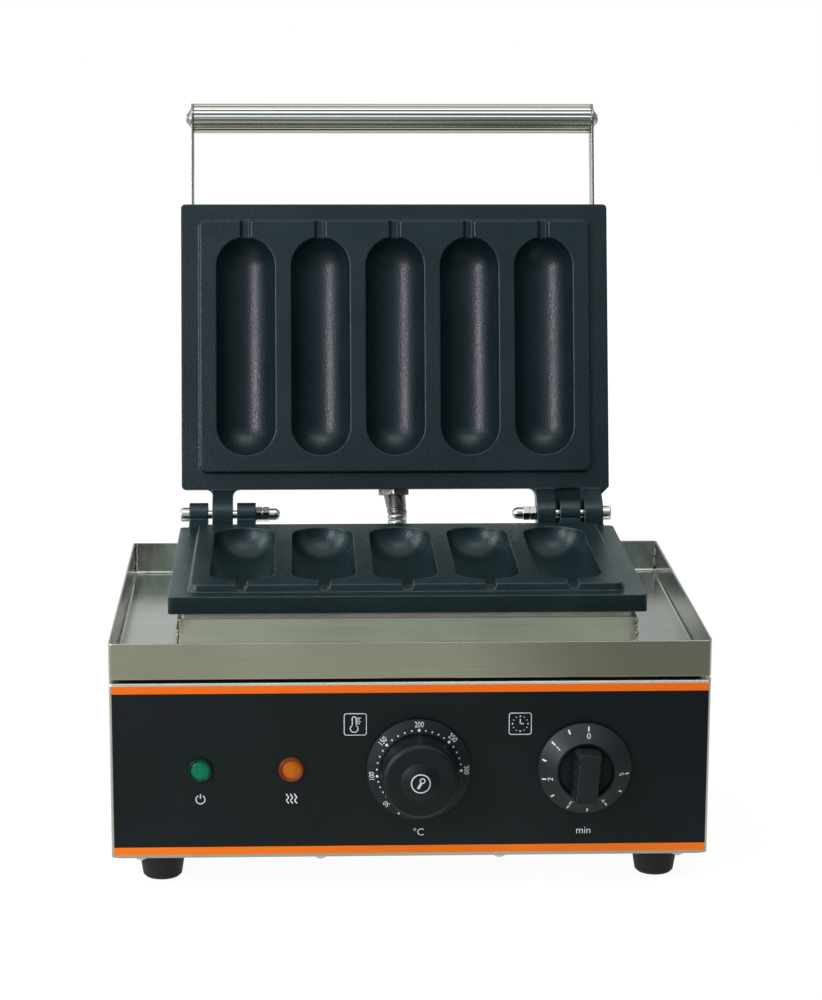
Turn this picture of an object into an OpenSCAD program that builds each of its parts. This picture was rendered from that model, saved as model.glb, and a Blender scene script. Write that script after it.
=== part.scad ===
// Corn dog maker for a countertop: a stainless housing with a crumb tray carries a cast
// lower plate, and a matching upper plate swings over it on two clevis hinges. Five
// sausage-shaped moulds meet when the lid is shut, each with a groove for the stick.
// Millimetres. X runs left to right, Y front to back, Z up from the table.
// The lid is drawn shut and then swung back onto its stop, as it stands when in use.

/* [Housing] */
// Width of the housing and of the crumb tray
body_w = 312; // [300:1:340]
// Depth of the housing and of the crumb tray
body_d = 234; // [230:1:260]
// Height of the housing walls
body_h = 94; // [88:1:120]
// Thickness of the steel sheet
sheet_t = 1; // [0.8:0.1:1.5]
// Outer bend radius of the upright corners
body_corner_r = 2.5; // [2:0.5:6]
// Width of the inward flanges at the top and bottom edges
lip_w = 14; // [12:1:18]

/* [Control panel] */
// Width of the printed film on the front
film_w = 309; // [280:1:311]
// Height of the printed film
film_h = 91; // [80:1:93]
// Thickness of the printed film
film_t = 0.4; // [0.2:0.1:0.8]
// Height of knobs and lamps above the lower edge of the housing
controls_up = 47.5; // [44:0.5:52]
// Thermostat axis, from the middle of the panel
thermostat_x = 4; // [-4:0.5:10]
// Timer axis, from the middle of the panel
timer_x = 90.4; // [82:0.2:100]
// Green lamp, from the middle of the panel
green_lamp_x = -109.4; // [-120:0.2:-95]
// Orange lamp, from the middle of the panel
orange_lamp_x = -62.1; // [-75:0.2:-55]
// Diameter of a lamp lens over its rim
lamp_d = 13.4; // [12:0.1:16]
// Height of a lamp lens above the film
lamp_h = 5; // [3:0.5:8]

/* [Knobs] */
// Diameter of the thermostat dial
thermostat_dial_d = 54; // [48:0.5:60]
// Diameter of the thermostat grip
thermostat_grip_d = 41; // [34:0.5:44]
// Height of the thermostat knob
thermostat_knob_h = 26; // [23:0.5:32]
// Diameter of the domed middle of the thermostat grip
knob_dome_d = 20.5; // [16:0.5:26]
// Diameter of the timer dial
timer_dial_d = 48.7; // [44:0.1:56]
// Height of the timer knob
timer_knob_h = 22.5; // [19:0.5:30]
// Thickness of the timer's bar grip at its top
timer_bar_t = 11; // [8:0.5:13]
// Length of the timer's bar grip
timer_bar_l = 26; // [20:0.5:27]
// Diameter of the control shafts
shaft_d = 6; // [5:0.5:8]
// Gap between a knob and the film behind it
knob_gap = 1; // [0.5:0.1:2]

/* [Feet] */
// Height of the rubber feet
foot_h = 15; // [12:1:25]
// Diameter of a foot at the housing
foot_top_d = 24.5; // [20:0.5:30]
// Diameter of a foot on the table
foot_base_d = 20.5; // [16:0.5:26]
// Foot axis, in from the side of the housing
foot_in_x = 25.5; // [22:0.5:34]
// Foot axis, in from the front and back of the housing
foot_in_y = 20; // [18:0.5:30]

/* [Crumb tray] */
// Height of the tray walls
tray_h = 18; // [14:1:24]
// Shadow gap between the housing and the tray
tray_gap = 2; // [1:0.5:4]

/* [Riser] */
// Width of the steel box under the lower plate
riser_w = 245; // [240:1:250]
// Front of the riser behind the front edge of the plate
riser_in = 6; // [5:0.5:8]
// Height of the riser above the tray floor
riser_h = 18.8; // [17:0.2:26]
// Height of the insulating frame between riser and plate
gasket_h = 4.3; // [2:0.1:6]
// Step from the riser's face back to the insulating frame
gasket_in = 2.5; // [2:0.1:4]

/* [Plates] */
// Width of a cast plate
plate_w = 254; // [250:1:262]
// Depth of a cast plate
plate_d = 170; // [168:1:176]
// Front edge of the plates behind the panel
plate_y = 41.5; // [36:0.5:46]
// Thickness of a plate at its rim
rim_t = 9.3; // [8:0.1:12]
// Corner radius of a plate
plate_r = 2.5; // [2:0.5:8]
// Height of the raised middle of a plate
pad_h = 4; // [3:0.1:6]
// Width of the low rim at the sides of a plate
rim_x = 11.5; // [8:0.5:13]
// Width of the low rim at the front and back of a plate
rim_y = 10.5; // [9:0.5:12]
// Draft of the raised middle, per side
pad_draft = 1; // [0.5:0.1:2]
// Gap between the raised middles with the lid shut
shut_gap = 0.6; // [0.4:0.1:1.5]

/* [Moulds] */
// Number of moulds
mould_count = 5; // [3:1:5]
// Distance between neighbouring moulds
mould_pitch = 44.3; // [43:0.1:46]
// Width of a mould
mould_w = 35; // [32:0.5:36]
// Distance from the front and back of a plate to the ends of its moulds
mould_end = 20; // [18:0.5:25]
// Mould axis above the plate's own surface, which gives the rim its draft
mould_lift = 1; // [0.5:0.1:2]
// Wall of metal under a mould
mould_wall = 5; // [4:0.2:6]
// Width of a stick groove at the surface
groove_w = 6.6; // [5:0.1:8]
// Width of a stick groove at its floor
groove_floor = 4; // [3:0.1:5]
// Depth of a stick groove
groove_h = 2.8; // [2:0.1:3.2]

/* [Lid hinge] */
// How far the lid swings open from shut
open_angle = 104.3; // [95:0.1:110]
// Hinge axis behind the rear edge of the plates
hinge_back = 14.9; // [14:0.1:18]
// Middle of each hinge from the middle of the plate
hinge_x = 102.6; // [98:0.2:106]
// Outer radius of the lower plate's outer lugs
lug_r = 7; // [6:0.1:8]
// Outer radius of the lower plate's middle lug
tongue_r = 8.8; // [7:0.1:9]
// Outer radius of the lid's lugs
lid_lug_r = 8.5; // [7:0.1:9]
// Width of the middle lug
lug_w = 12; // [10:0.5:14]
// Width of each of the two outer lugs
ear_w = 11; // [9:0.5:12]
// Side gap between lugs
lug_gap = 2.5; // [1:0.1:3]
// Diameter of the hinge bolts
pin_d = 5; // [4:0.5:6]
// Radial running clearance of the hinge bolts
pin_gap = 0.06; // [0.03:0.01:0.1]
// How far the heel that stops the lid stands out from the lid's lugs
heel_out = 0.6; // [0.5:0.1:1]

/* [Lid cover and handle] */
// Width of the lid cover
cover_w = 240; // [232:1:246]
// Height of the lid cover above the back of the plate
cover_h = 34; // [32:1:44]
// Handle axis in front of the plates
handle_reach = 55.5; // [45:0.5:70]
// Handle axis above the back of the lid plate
handle_up = 14; // [12:0.5:16]
// Diameter of the fluted handle tube
handle_d = 18; // [15:0.5:19]
// Number of flutes round the handle tube
flute_count = 18; // [12:1:28]
// Width of a flute
flute_w = 1.4; // [0.8:0.1:1.6]
// Width of the handle arms
arm_w = 15; // [12:0.5:18]
// Thickness of the handle arms
arm_t = 1.4; // [1:0.1:3]

/* [Heaters] */
// Diameter of the heater tubes
heater_d = 6.5; // [6:0.1:8]
// Distance between the two runs of a heater
heater_span = 64; // [56:1:70]

/* [Conduit] */
// Crest diameter of the ribbed metal hose
hose_d = 11.7; // [10:0.1:13]
// Bore of the hose
hose_bore = 8; // [6:0.1:8.4]
// Depth of the ribs
rib_h = 0.7; // [0.4:0.1:0.9]
// Length of hose taken by one rib
rib_pitch = 3.6; // [3:0.1:6]
// Hose exit from the lid, from the middle
hose_lid_x = -1.2; // [-8:0.2:8]
// Hose exit above the hinge axis with the lid shut
hose_lid_up = 24; // [23.6:0.1:26]
// Hose entry into the back of the housing, in from its side
hose_base_in = 46; // [36:1:60]
// Hose entry above the lower edge of the housing
hose_base_up = 16; // [14:0.5:20]
// Length from the lid's fitting to the first corner of the hose's route
hose_drop = 42.5; // [38:0.5:46]
// Length from the second corner of the route to the housing's fitting
hose_reach = 110; // [100:1:120]
// Bend radius of the hose, where its straight ends leave room for it
hose_bend = 47; // [36:1:47]

/* [Hidden] */
$fn = 48;
// Overlap that fuses one solid of a piece to another of the same piece
fuse = 0.5;
// Clearance of a fastener in its hole, on the radius
hole_gap = 0.1;
// Clearance of parts that slip inside one another
slip_gap = 0.2;

// Heights of the stack, from the table upwards
body_z = foot_h + sheet_t;
deck_z = body_z + body_h;
tray_z = deck_z + tray_gap;
floor_z = tray_z + sheet_t;
riser_z = floor_z + riser_h;
plate_z = riser_z + gasket_h;
hinge_z = plate_z + rim_t + pad_h + shut_gap / 2;
controls_z = body_z + controls_up;

// Levels of one plate, down from the hinge plane
pad_top = shut_gap / 2;
rim_top = pad_top + pad_h;
rim_back = rim_top + rim_t;
mould_r = mould_w / 2;
mould_l = plate_d - 2 * mould_end;
flat_back = pad_top + mould_r + mould_wall - 2.5;
heater_axis = flat_back + slip_gap + heater_d / 2;
clamp_top = heater_axis + heater_d / 2 + slip_gap;
clamp_t = 1.5;

// Places along Y, from the face of the panel
hinge_y = plate_y + plate_d + hinge_back;
plate_rear = plate_y + plate_d;
riser_y = plate_y + riser_in;
riser_d = plate_d - 2 * riser_in;
cover_y = riser_y;
cover_rear = riser_y + riser_d;
handle_y = plate_y - handle_reach;
handle_z = hinge_z + rim_back + handle_up;
plate_mid_y = plate_y + plate_d / 2;

// Posts under each plate, in the valleys between the outer moulds
post_x = mould_pitch * (mould_count / 2 - 1);
post_in_y = 30;
post_d = 10;
post_screw_d = 6;
clamp_screw_d = 5;
post_spots = [for (x = [-1, 1], y = [post_in_y, plate_d - post_in_y]) [x * post_x, y]];
clamp_spots = [for (x = [-1, 1]) [x * post_x, plate_d / 2]];

// Hinge lugs, from the middle of the hinge outwards
ear_near = lug_w / 2 + lug_gap;
ear_far = ear_near + ear_w;
stop_gap = 0.05;
heel = lid_lug_r + heel_out;

// Points on the lid after it has swung open
function open_y(y, z) = hinge_y + (y - hinge_y) * cos(open_angle) + (z - hinge_z) * sin(open_angle);
function open_z(y, z) = hinge_z - (y - hinge_y) * sin(open_angle) + (z - hinge_z) * cos(open_angle);

// Front and back of the whole object, which set the origin in the middle between them
knob_back = film_t + knob_gap;
front_y = -(knob_back + thermostat_knob_h);
back_y = open_y(handle_y, handle_z) + handle_d / 2;
mid_y = (front_y + back_y) / 2;

// Fittings of the conduit
gland_af = 18;
gland_nut_h = 6;
ferrule_d = 12.2;
lid_ferrule_h = 14;
base_ferrule_h = 10;
gland_bore = hose_bore;

// Route of the hose in the open pose: straight out of the lid, across to the side and back,
// and straight into the back of the housing, with both corners rounded
hose_z = body_z + hose_base_up;
hose_base_x = body_w / 2 - hose_base_in;
hose_end = 3;
hose_sides = 8;
function unit(v) = v / norm(v);
lid_hose_y = cover_rear + gland_nut_h + lid_ferrule_h;
lid_hose_z = hinge_z + hose_lid_up;
hose_start = [hose_lid_x, open_y(lid_hose_y, lid_hose_z), open_z(lid_hose_y, lid_hose_z)];
hose_finish = [hose_base_x, body_d + gland_nut_h + base_ferrule_h, hose_z];
way_1 = [0, cos(open_angle), -sin(open_angle)];
way_3 = [0, -1, 0];
corner_1 = hose_start + hose_drop * way_1;
corner_2 = hose_finish - hose_reach * way_3;
way_2 = unit(corner_2 - corner_1);
crossing = norm(corner_2 - corner_1);
turn_1 = acos(way_1 * way_2);
turn_2 = acos(way_2 * way_3);
hose_r = min(hose_bend, (hose_drop - hose_end) / tan(turn_1 / 2), (hose_reach - hose_end) / tan(turn_2 / 2),
             crossing / (tan(turn_1 / 2) + tan(turn_2 / 2)));
cut_1 = hose_r * tan(turn_1 / 2);
cut_2 = hose_r * tan(turn_2 / 2);

// Lengths along the hose where each bend begins and ends
bend_1_from = hose_drop - cut_1;
bend_1_to = bend_1_from + hose_r * turn_1 * PI / 180;
bend_2_from = bend_1_to + crossing - cut_1 - cut_2;
bend_2_to = bend_2_from + hose_r * turn_2 * PI / 180;
hose_l = bend_2_to + hose_reach - cut_2;
rib_count = floor(hose_l / rib_pitch);

// A point on a bend that starts at p in direction a and turns towards b
function bend(p, a, b, s) = let (t = s / hose_r * 180 / PI)
    p + hose_r * (sin(t) * a + (1 - cos(t)) * unit(b - a * (a * b)));

// Middle of the hose at a length s from the lid
function hose_at(s) =
    s < bend_1_from ? hose_start + s * way_1
    : s < bend_1_to ? bend(corner_1 - cut_1 * way_1, way_1, way_2, s - bend_1_from)
    : s < bend_2_from ? corner_1 + (cut_1 + s - bend_1_to) * way_2
    : s < bend_2_to ? bend(corner_2 - cut_2 * way_2, way_2, way_3, s - bend_2_from)
    : corner_2 + (cut_2 + s - bend_2_to) * way_3;

// One ring of points square to the hose
function hose_ring(s, r) = let (
        p = hose_at(s),
        along = unit(hose_at(s + 0.01) - hose_at(s - 0.01)),
        up = unit(cross(along, [1, 0, 0])),
        side = cross(up, along))
    [for (i = [0 : hose_sides - 1]) let (a = 360 * i / hose_sides) p + r * (cos(a) * side + sin(a) * up)];

// Tangent point on a circle about the origin, seen from p; side 1 is the upper tangent
function tangent(p, r, side) = let (
        d = norm(p),
        a = atan2(-p[1], -p[0]) + side * asin(r / d))
    p + sqrt(d * d - r * r) * [cos(a), sin(a)];

// Placing

// Moves the object so that the origin is under the middle of its box
module placed() translate([0, -mid_y, 0]) children();

// Swings what is drawn shut about the hinge axis to the open stop
module swung_open()
    translate([0, hinge_y, hinge_z]) rotate([-open_angle, 0, 0]) translate([0, -hinge_y, -hinge_z])
        children();

// Drawn with Z towards the user, on the face of the panel
module facing_front(x, z) translate([x, 0, z]) rotate([90, 0, 0]) children();

// Drawn with Z to the back, on the face of the rear wall
module facing_back(x, z) translate([x, body_d, z]) rotate([-90, 0, 0]) children();

// An outline in Y and Z, drawn out along X
module along_x(x0, x1) translate([x0, 0, 0]) rotate([90, 0, 90]) linear_extrude(x1 - x0) children();

// A plate's own frame: Y from its front edge, Z from the hinge plane, metal below
module lower_frame() translate([0, plate_y, hinge_z]) children();
module upper_frame() translate([0, plate_y, hinge_z]) mirror([0, 0, 1]) children();

// Shapes used more than once

module rounded_rect(w, d, r) {
    square([w - 2 * r, d], center = true);
    square([w, d - 2 * r], center = true);
    for (x = [-1, 1], y = [-1, 1]) translate([x * (w / 2 - r), y * (d / 2 - r)]) circle(r);
}

// A rounded plate with its front edge at y and its underside at z
module slab(w, d, r, y, z, h) translate([0, y + d / 2, z]) linear_extrude(h) rounded_rect(w, d, r);

// A rounded frame of a given wall, with its front edge at y
module ring(w, d, r, wall, y, z, h)
    translate([0, y + d / 2, z]) linear_extrude(h) difference() {
        rounded_rect(w, d, r);
        rounded_rect(w - 2 * wall, d - 2 * wall, max(r - wall, 0.4));
    }

// A round bar with ball ends, along Y, centred
module capsule(d, l) rotate([90, 0, 0]) rotate_extrude() intersection() {
    union() {
        square([d, l - d], center = true);
        for (s = [-1, 1]) translate([0, s * (l - d) / 2]) circle(d = d);
    }
    translate([0, -l]) square([d, 2 * l]);
}

// A screw with a pan head above z = 0 and its shank below
module screw(shank_d, shank_l, head_d, head_h) {
    translate([0, 0, -shank_l]) cylinder(d = shank_d, h = shank_l + fuse);
    difference() {
        rotate_extrude() polygon([[0, 0], [head_d / 2, 0], [head_d / 2, head_h * 0.55],
                                  [head_d * 0.32, head_h], [0, head_h]]);
        translate([0, 0, head_h / 2]) cross_slot(head_d * 0.5, head_d * 0.13, head_h);
    }
}

module cross_slot(l, w, h) for (a = [0, 90]) rotate([0, 0, a]) translate([-l / 2, -w / 2, 0]) cube([l, w, h]);

// A hexagonal block with its corners turned off at both ends
hex_face = 0.475;
hex_slope = 0.58;
module hex_block(af, h) {
    side = af * 0.6;
    turn = (side - hex_face * af) * hex_slope;
    intersection() {
        cylinder(d = af / cos(30), h = h, $fn = 6);
        rotate_extrude() polygon([[0, 0], [hex_face * af, 0], [side, turn], [side, h - turn], [hex_face * af, h], [0, h]]);
    }
}

module hex_nut(af, h, bore_d) difference() {
    hex_block(af, h);
    translate([0, 0, -1]) cylinder(d = bore_d, h = h + 2);
}

// A straight round rod between two points, with a slightly fuller ball at its first end
ball_swell = 1.2;
module rod(p, q, d) {
    v = q - p;
    translate(p) rotate([0, acos(v[2] / norm(v)), atan2(v[1], v[0])]) cylinder(d = d, h = norm(v));
    translate(p) sphere(d = d * ball_swell);
}

// Housing and what stands under it

bottom_screw_x = [body_w / 2 - 15, body_w / 6 - 5];
bottom_screw_in = 7;
bottom_screw_d = 4;
bottom_head_d = 7;
bottom_head_h = 2.2;
foot_screw_d = 5;
foot_head_d = 9.5;
foot_head_h = 3;
foot_spots = [for (x = [-1, 1], y = [foot_in_y, body_d - foot_in_y]) [x * (body_w / 2 - foot_in_x), y]];
bottom_screw_spots = [for (s = [-1, 1], x = bottom_screw_x, y = [bottom_screw_in, body_d - bottom_screw_in])
    [s * x, y]];
lamp_body_d = 10;
bush_d = 10;
cord_gland_in = 60;
cord_gland_x = cord_gland_in - body_w / 2;
cord_gland_z = body_z + 28;
cord_thread_d = 16;
cord_bore_d = 8;
vent_count = 7;
vent_pitch = 9;
vent_w = 3;
vent_h = 34;
vent_in = 51;
vent_x = body_w / 2 - vent_in;

// Upright slots with round ends, in a row about x = 0
module vent_row(h, depth)
    for (i = [0 : vent_count - 1]) translate([(i - (vent_count - 1) / 2) * vent_pitch, 0, 0])
        linear_extrude(depth) {
            square([vent_w, h - vent_w], center = true);
            for (s = [-1, 1]) translate([0, s * (h - vent_w) / 2]) circle(d = vent_w);
        }

module housing() color("silver") difference() {
    union() {
        ring(body_w, body_d, body_corner_r, sheet_t, 0, body_z, body_h);
        ring(body_w, body_d, body_corner_r, lip_w, 0, body_z, sheet_t);
        ring(body_w, body_d, body_corner_r, lip_w, 0, deck_z - sheet_t, sheet_t);
    }
    for (x = [thermostat_x, timer_x]) panel_hole(x, bush_d);
    for (x = [green_lamp_x, orange_lamp_x]) panel_hole(x, lamp_body_d);
    for (p = bottom_screw_spots) translate([p[0], p[1], body_z - 1])
        cylinder(d = bottom_screw_d + 2 * hole_gap, h = sheet_t + 2);
    for (p = [[cord_gland_x, cord_gland_z, cord_thread_d], [hose_base_x, hose_z, ferrule_d]])
        facing_back(p[0], p[1]) translate([0, 0, -sheet_t - 1])
            cylinder(d = p[2] + 2 * hole_gap, h = sheet_t + 2);
    for (s = [-1, 1]) facing_back(s * vent_x, deck_z - lip_w - vent_h / 2) translate([0, 0, -sheet_t - 1])
        vent_row(vent_h, sheet_t + 2);
}

module panel_hole(x, d) facing_front(x, controls_z) translate([0, 0, -sheet_t - 1])
    cylinder(d = d + 2 * slip_gap, h = sheet_t + film_t + 2);

module panel_overlay() color("black") difference() {
    translate([-film_w / 2, -film_t, body_z + (body_h - film_h) / 2]) cube([film_w, film_t, film_h]);
    for (x = [thermostat_x, timer_x]) panel_hole(x, bush_d);
    for (x = [green_lamp_x, orange_lamp_x]) panel_hole(x, lamp_body_d);
}

bottom_in = 2;

module bottom_plate() color("gray") difference() {
    slab(body_w - 2 * bottom_in, body_d - 2 * bottom_in, body_corner_r, bottom_in, foot_h, sheet_t);
    for (p = bottom_screw_spots) translate([p[0], p[1], foot_h - 1])
        cylinder(d = bottom_screw_d + 2 * hole_gap, h = sheet_t + 2);
    for (p = foot_spots) translate([p[0], p[1], foot_h - 1])
        cylinder(d = foot_screw_d + 2 * hole_gap, h = sheet_t + 2);
    for (s = [-1, 1]) translate([s * body_w / 5, body_d / 2, foot_h - 1]) vent_row(vent_h, sheet_t + 2);
}

module bottom_screws() color("silver") for (p = bottom_screw_spots)
    translate([p[0], p[1], foot_h]) mirror([0, 0, 1]) screw(bottom_screw_d, 2 * sheet_t + bottom_screw_d, bottom_head_d, bottom_head_h);

foot_recess_d = 11;
foot_floor = 4;
foot_edge = 1.2;

module feet() color([0.08, 0.08, 0.08]) for (p = foot_spots) translate([p[0], p[1], 0])
    rotate_extrude() polygon([
        [foot_recess_d / 2, 0], [foot_base_d / 2 - foot_edge, 0], [foot_base_d / 2, foot_edge],
        [foot_top_d / 2, foot_h - foot_edge], [foot_top_d / 2, foot_h],
        [foot_screw_d / 2 + hole_gap, foot_h], [foot_screw_d / 2 + hole_gap, foot_h - foot_floor],
        [foot_recess_d / 2, foot_h - foot_floor]]);

module foot_screws() color("silver") for (p = foot_spots) translate([p[0], p[1], 0]) {
    translate([0, 0, foot_h - foot_floor]) mirror([0, 0, 1]) screw(foot_screw_d, foot_floor + sheet_t + nut_h + 2 * sheet_t, foot_head_d, foot_head_h);
    translate([0, 0, foot_h + sheet_t]) hex_nut(nut_af, nut_h, foot_screw_d + 2 * hole_gap);
}

// Crumb tray and riser

spacer_in = 5;
spacer_w = 8;
wire_hole_d = 14;
bulb_x = mould_pitch / 2;
capillary_y = plate_y + 20;
wire_spots = [[bulb_x, capillary_y], [-bulb_x, capillary_y]];

module tray_spacer() color([0.15, 0.15, 0.15])
    ring(body_w - 2 * spacer_in, body_d - 2 * spacer_in, body_corner_r, spacer_w, spacer_in, deck_z, tray_gap);

module tray() color("silver") difference() {
    union() {
        ring(body_w, body_d, body_corner_r, sheet_t, 0, tray_z, sheet_t + tray_h);
        slab(body_w, body_d, body_corner_r, 0, tray_z, sheet_t);
    }
    for (p = post_spots) translate([p[0], plate_y + p[1], tray_z - 1])
        cylinder(d = post_screw_d + 2 * hole_gap, h = sheet_t + 2);
    for (p = wire_spots) translate([p[0], p[1], tray_z - 1]) cylinder(d = wire_hole_d, h = sheet_t + 2);
}

riser_r = 1.8;
gasket_clear = 0.5;
gasket_w = mould_end - mould_wall - riser_in - gasket_in - gasket_clear;

module riser_box() color("silver") {
    ring(riser_w, riser_d, riser_r, sheet_t, riser_y, floor_z, riser_h);
    ring(riser_w, riser_d, riser_r, gasket_in + gasket_w, riser_y, riser_z - sheet_t, sheet_t);
}

module riser_gasket() color("gainsboro")
    ring(riser_w - 2 * gasket_in, riser_d - 2 * gasket_in, riser_r, gasket_w, riser_y + gasket_in, riser_z, gasket_h);

// Cast plates

function mould_x(i) = (i - (mould_count - 1) / 2) * mould_pitch;
pad_w = plate_w - 2 * rim_x;
pad_d = plate_d - 2 * rim_y;
pad_r = 4;

// Raised middle with sloping sides: two crossed prisms and a cone at each corner
module pad() translate([0, rim_y + pad_d / 2, -rim_top - fuse]) {
    h = pad_h + fuse;
    slope = pad_draft * h / pad_h;
    corner_x = pad_w / 2 - pad_r;
    corner_y = pad_d / 2 - pad_r;
    rotate([90, 0, 0]) linear_extrude(2 * corner_y, center = true)
        polygon([[-pad_w / 2 - slope, 0], [pad_w / 2 + slope, 0], [pad_w / 2, h], [-pad_w / 2, h]]);
    along_x(-corner_x, corner_x)
        polygon([[-pad_d / 2 - slope, 0], [pad_d / 2 + slope, 0], [pad_d / 2, h], [-pad_d / 2, h]]);
    for (x = [-corner_x, corner_x], y = [-corner_y, corner_y])
        translate([x, y, 0]) cylinder(r1 = pad_r + slope, r2 = pad_r, h = h);
}

// One plate with its moulds, drawn face up; posts reach down to post_end
module cast_plate(post_end) difference() {
    union() {
        slab(plate_w, plate_d, plate_r, 0, -rim_back, rim_t);
        pad();
        intersection() {
            for (i = [0 : mould_count - 1]) translate([mould_x(i), plate_d / 2, mould_lift - pad_top])
                capsule(mould_w + 2 * mould_wall, mould_l + 2 * mould_wall);
            translate([-plate_w, 0, -flat_back]) cube([2 * plate_w, plate_d, flat_back - rim_back + fuse]);
        }
        for (p = post_spots) translate([p[0], p[1], -post_end]) cylinder(d = post_d, h = post_end - rim_top - fuse);
        for (p = clamp_spots) translate([p[0], p[1], -clamp_top]) cylinder(d = post_d, h = clamp_top - rim_top - fuse);
    }
    for (i = [0 : mould_count - 1]) translate([mould_x(i), plate_d / 2, mould_lift - pad_top]) {
        capsule(mould_w, mould_l);
        stick_groove();
    }
    for (p = post_spots) translate([p[0], p[1], -post_end - 1]) cylinder(d = post_screw_d, h = post_thread + 1);
    for (p = clamp_spots) translate([p[0], p[1], -clamp_top - 1]) cylinder(d = clamp_screw_d, h = post_thread + 1);
}

post_thread = 11;
post_head_d = 11;
post_head_h = 4;

// Groove from the front edge of the raised middle into the mould, in the mould's frame
module stick_groove()
    translate([0, -plate_d / 2 + rim_y - pad_draft, -mould_lift]) rotate([-90, 0, 0])
        linear_extrude((plate_d - mould_l) / 2 - rim_y + pad_draft + mould_r)
            polygon([[-groove_w / 2, -mould_lift - 1], [groove_w / 2, -mould_lift - 1], [groove_w / 2, 0],
                     [groove_floor / 2, groove_h], [-groove_floor / 2, groove_h], [-groove_w / 2, 0]]);

// Outline of a hinge lug about the hinge axis, rooted in the rear edge of the lower plate:
// a barrel and a web, whose upper edge runs to the given point
lug_root = 3;
root_r = 4;
web_at = 190;
lug_high = [-hinge_back, -rim_top];
lug_low = [-hinge_back, -rim_back];
module lug_outline(r, upper) {
    circle(r);
    polygon([lug_low - [lug_root, 0], lug_high - [lug_root, 0], lug_high, upper, [0, 0], tangent(lug_low, r, -1), lug_low]);
}

// A lower lug's web stays low on the barrel
module lower_lug_outline(r) lug_outline(r, (r - fuse) * [cos(web_at), sin(web_at)]);

// A lid's lug is turned over, its web is a tangent, and it has a heel against the stop
module lid_lug_outline() {
    heel_top = [-heel, -rim_top];
    mirror([0, 1]) lug_outline(lid_lug_r, tangent(lug_high, lid_lug_r, 1));
    rotate(open_angle) polygon([[0, 0], [0, -heel], [-heel, -heel], heel_top, tangent(heel_top, lid_lug_r, 1)]);
}

// Draws lugs between pairs of X places and bores them on the hinge axis
module lugs(spans, bore_d) translate([0, hinge_y, hinge_z]) difference() {
    for (s = spans) along_x(s[0], s[1]) children();
    for (s = spans) translate([s[0] - 1, 0, 0]) rotate([0, 90, 0]) cylinder(d = bore_d, h = s[1] - s[0] + 2);
}

function fork(x) = [[x - ear_far, x - ear_near], [x + ear_near, x + ear_far]];
function tongue(x) = [[x - lug_w / 2, x + lug_w / 2]];
bolt_hole_d = pin_d + 2 * pin_gap;

// The stop is a thick web behind the rim, in front of the lugs
module stop_web(x)
    translate([x - ear_far, plate_rear - lug_root, plate_z])
        cube([2 * ear_far, hinge_back + lug_root - heel - stop_gap, rim_t]);

module lower_plate() color([0.16, 0.19, 0.21]) {
    lower_frame() cast_plate(hinge_z - floor_z);
    lugs(fork(-hinge_x), bolt_hole_d) lower_lug_outline(lug_r);
    lugs(tongue(hinge_x), bolt_hole_d) lower_lug_outline(tongue_r);
    for (x = [-hinge_x, hinge_x]) stop_web(x);
}

// Fillets between the rear edge of the lid's rim and the two sides of a lug
module root_fillets(span) for (side = [0, 1]) translate([span[side], plate_rear, hinge_z + rim_top])
    rotate([0, 0, 90 * (1 - side)]) translate([-fuse, -fuse, 0]) linear_extrude(rim_t) difference() {
        square(root_r + fuse);
        translate([root_r + fuse, root_r + fuse]) circle(root_r);
    }

// Corner of the lid's rim drawn out to the outer right lug, with a slanting edge
module corner_gusset() {
    reach = plate_w / 2 - hinge_x - ear_far;
    translate([hinge_x + ear_far, plate_rear, hinge_z + rim_top]) linear_extrude(rim_t)
        polygon([[-fuse, -plate_r - fuse], [reach - fuse, -plate_r - fuse], [reach, -plate_r], [reach, root_r - reach],
                 [0, root_r], [-fuse, root_r]]);
}

// Web that closes the back of the slot between the two right lugs of the lid
web_gap = 0.9;
web_past = 6;
module ear_web() translate([hinge_x - ear_near - fuse, plate_rear - lug_root, hinge_z + tongue_r + web_gap])
    cube([2 * (ear_near + fuse), lug_root + hinge_back + web_past, rim_back - tongue_r - web_gap]);

module upper_plate() color([0.16, 0.19, 0.21]) swung_open() {
    corner_gusset();
    ear_web();
    upper_frame() cast_plate(rim_back + cover_h - sheet_t);
    for (span = concat(tongue(-hinge_x), fork(hinge_x))) root_fillets(span);
    lugs(tongue(-hinge_x), bolt_hole_d) lid_lug_outline();
    lugs(fork(hinge_x), bolt_hole_d) lid_lug_outline();
}

module plate_bolts() color("silver") for (p = post_spots) translate([p[0], plate_y + p[1], tray_z])
    mirror([0, 0, 1]) screw(post_screw_d - 2 * hole_gap, sheet_t + post_thread - 1, post_head_d, post_head_h);

// Heaters under the moulds, the same in both plates

heater_bend_x = 80;
heater_end_x = -100;
pin_l = 10;

// A hairpin tube with a terminal pin at each end, in the plate's frame
module heater_hairpin() translate([0, plate_d / 2, -heater_axis]) {
    for (s = [-1, 1]) translate([0, s * heater_span / 2, 0]) {
        translate([heater_end_x, 0, 0]) rotate([0, 90, 0]) cylinder(d = heater_d, h = heater_bend_x - heater_end_x);
        translate([heater_end_x - pin_l, 0, 0]) rotate([0, 90, 0]) cylinder(d = heater_d / 2, h = pin_l + fuse);
    }
    translate([heater_bend_x, 0, 0]) rotate([0, 0, -90])
        rotate_extrude(angle = 180) translate([heater_span / 2, 0]) circle(d = heater_d);
}

clamp_margin = 10;
clamp_beyond = 30;
clamp_head_d = 9;
clamp_head_h = 3;

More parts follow.
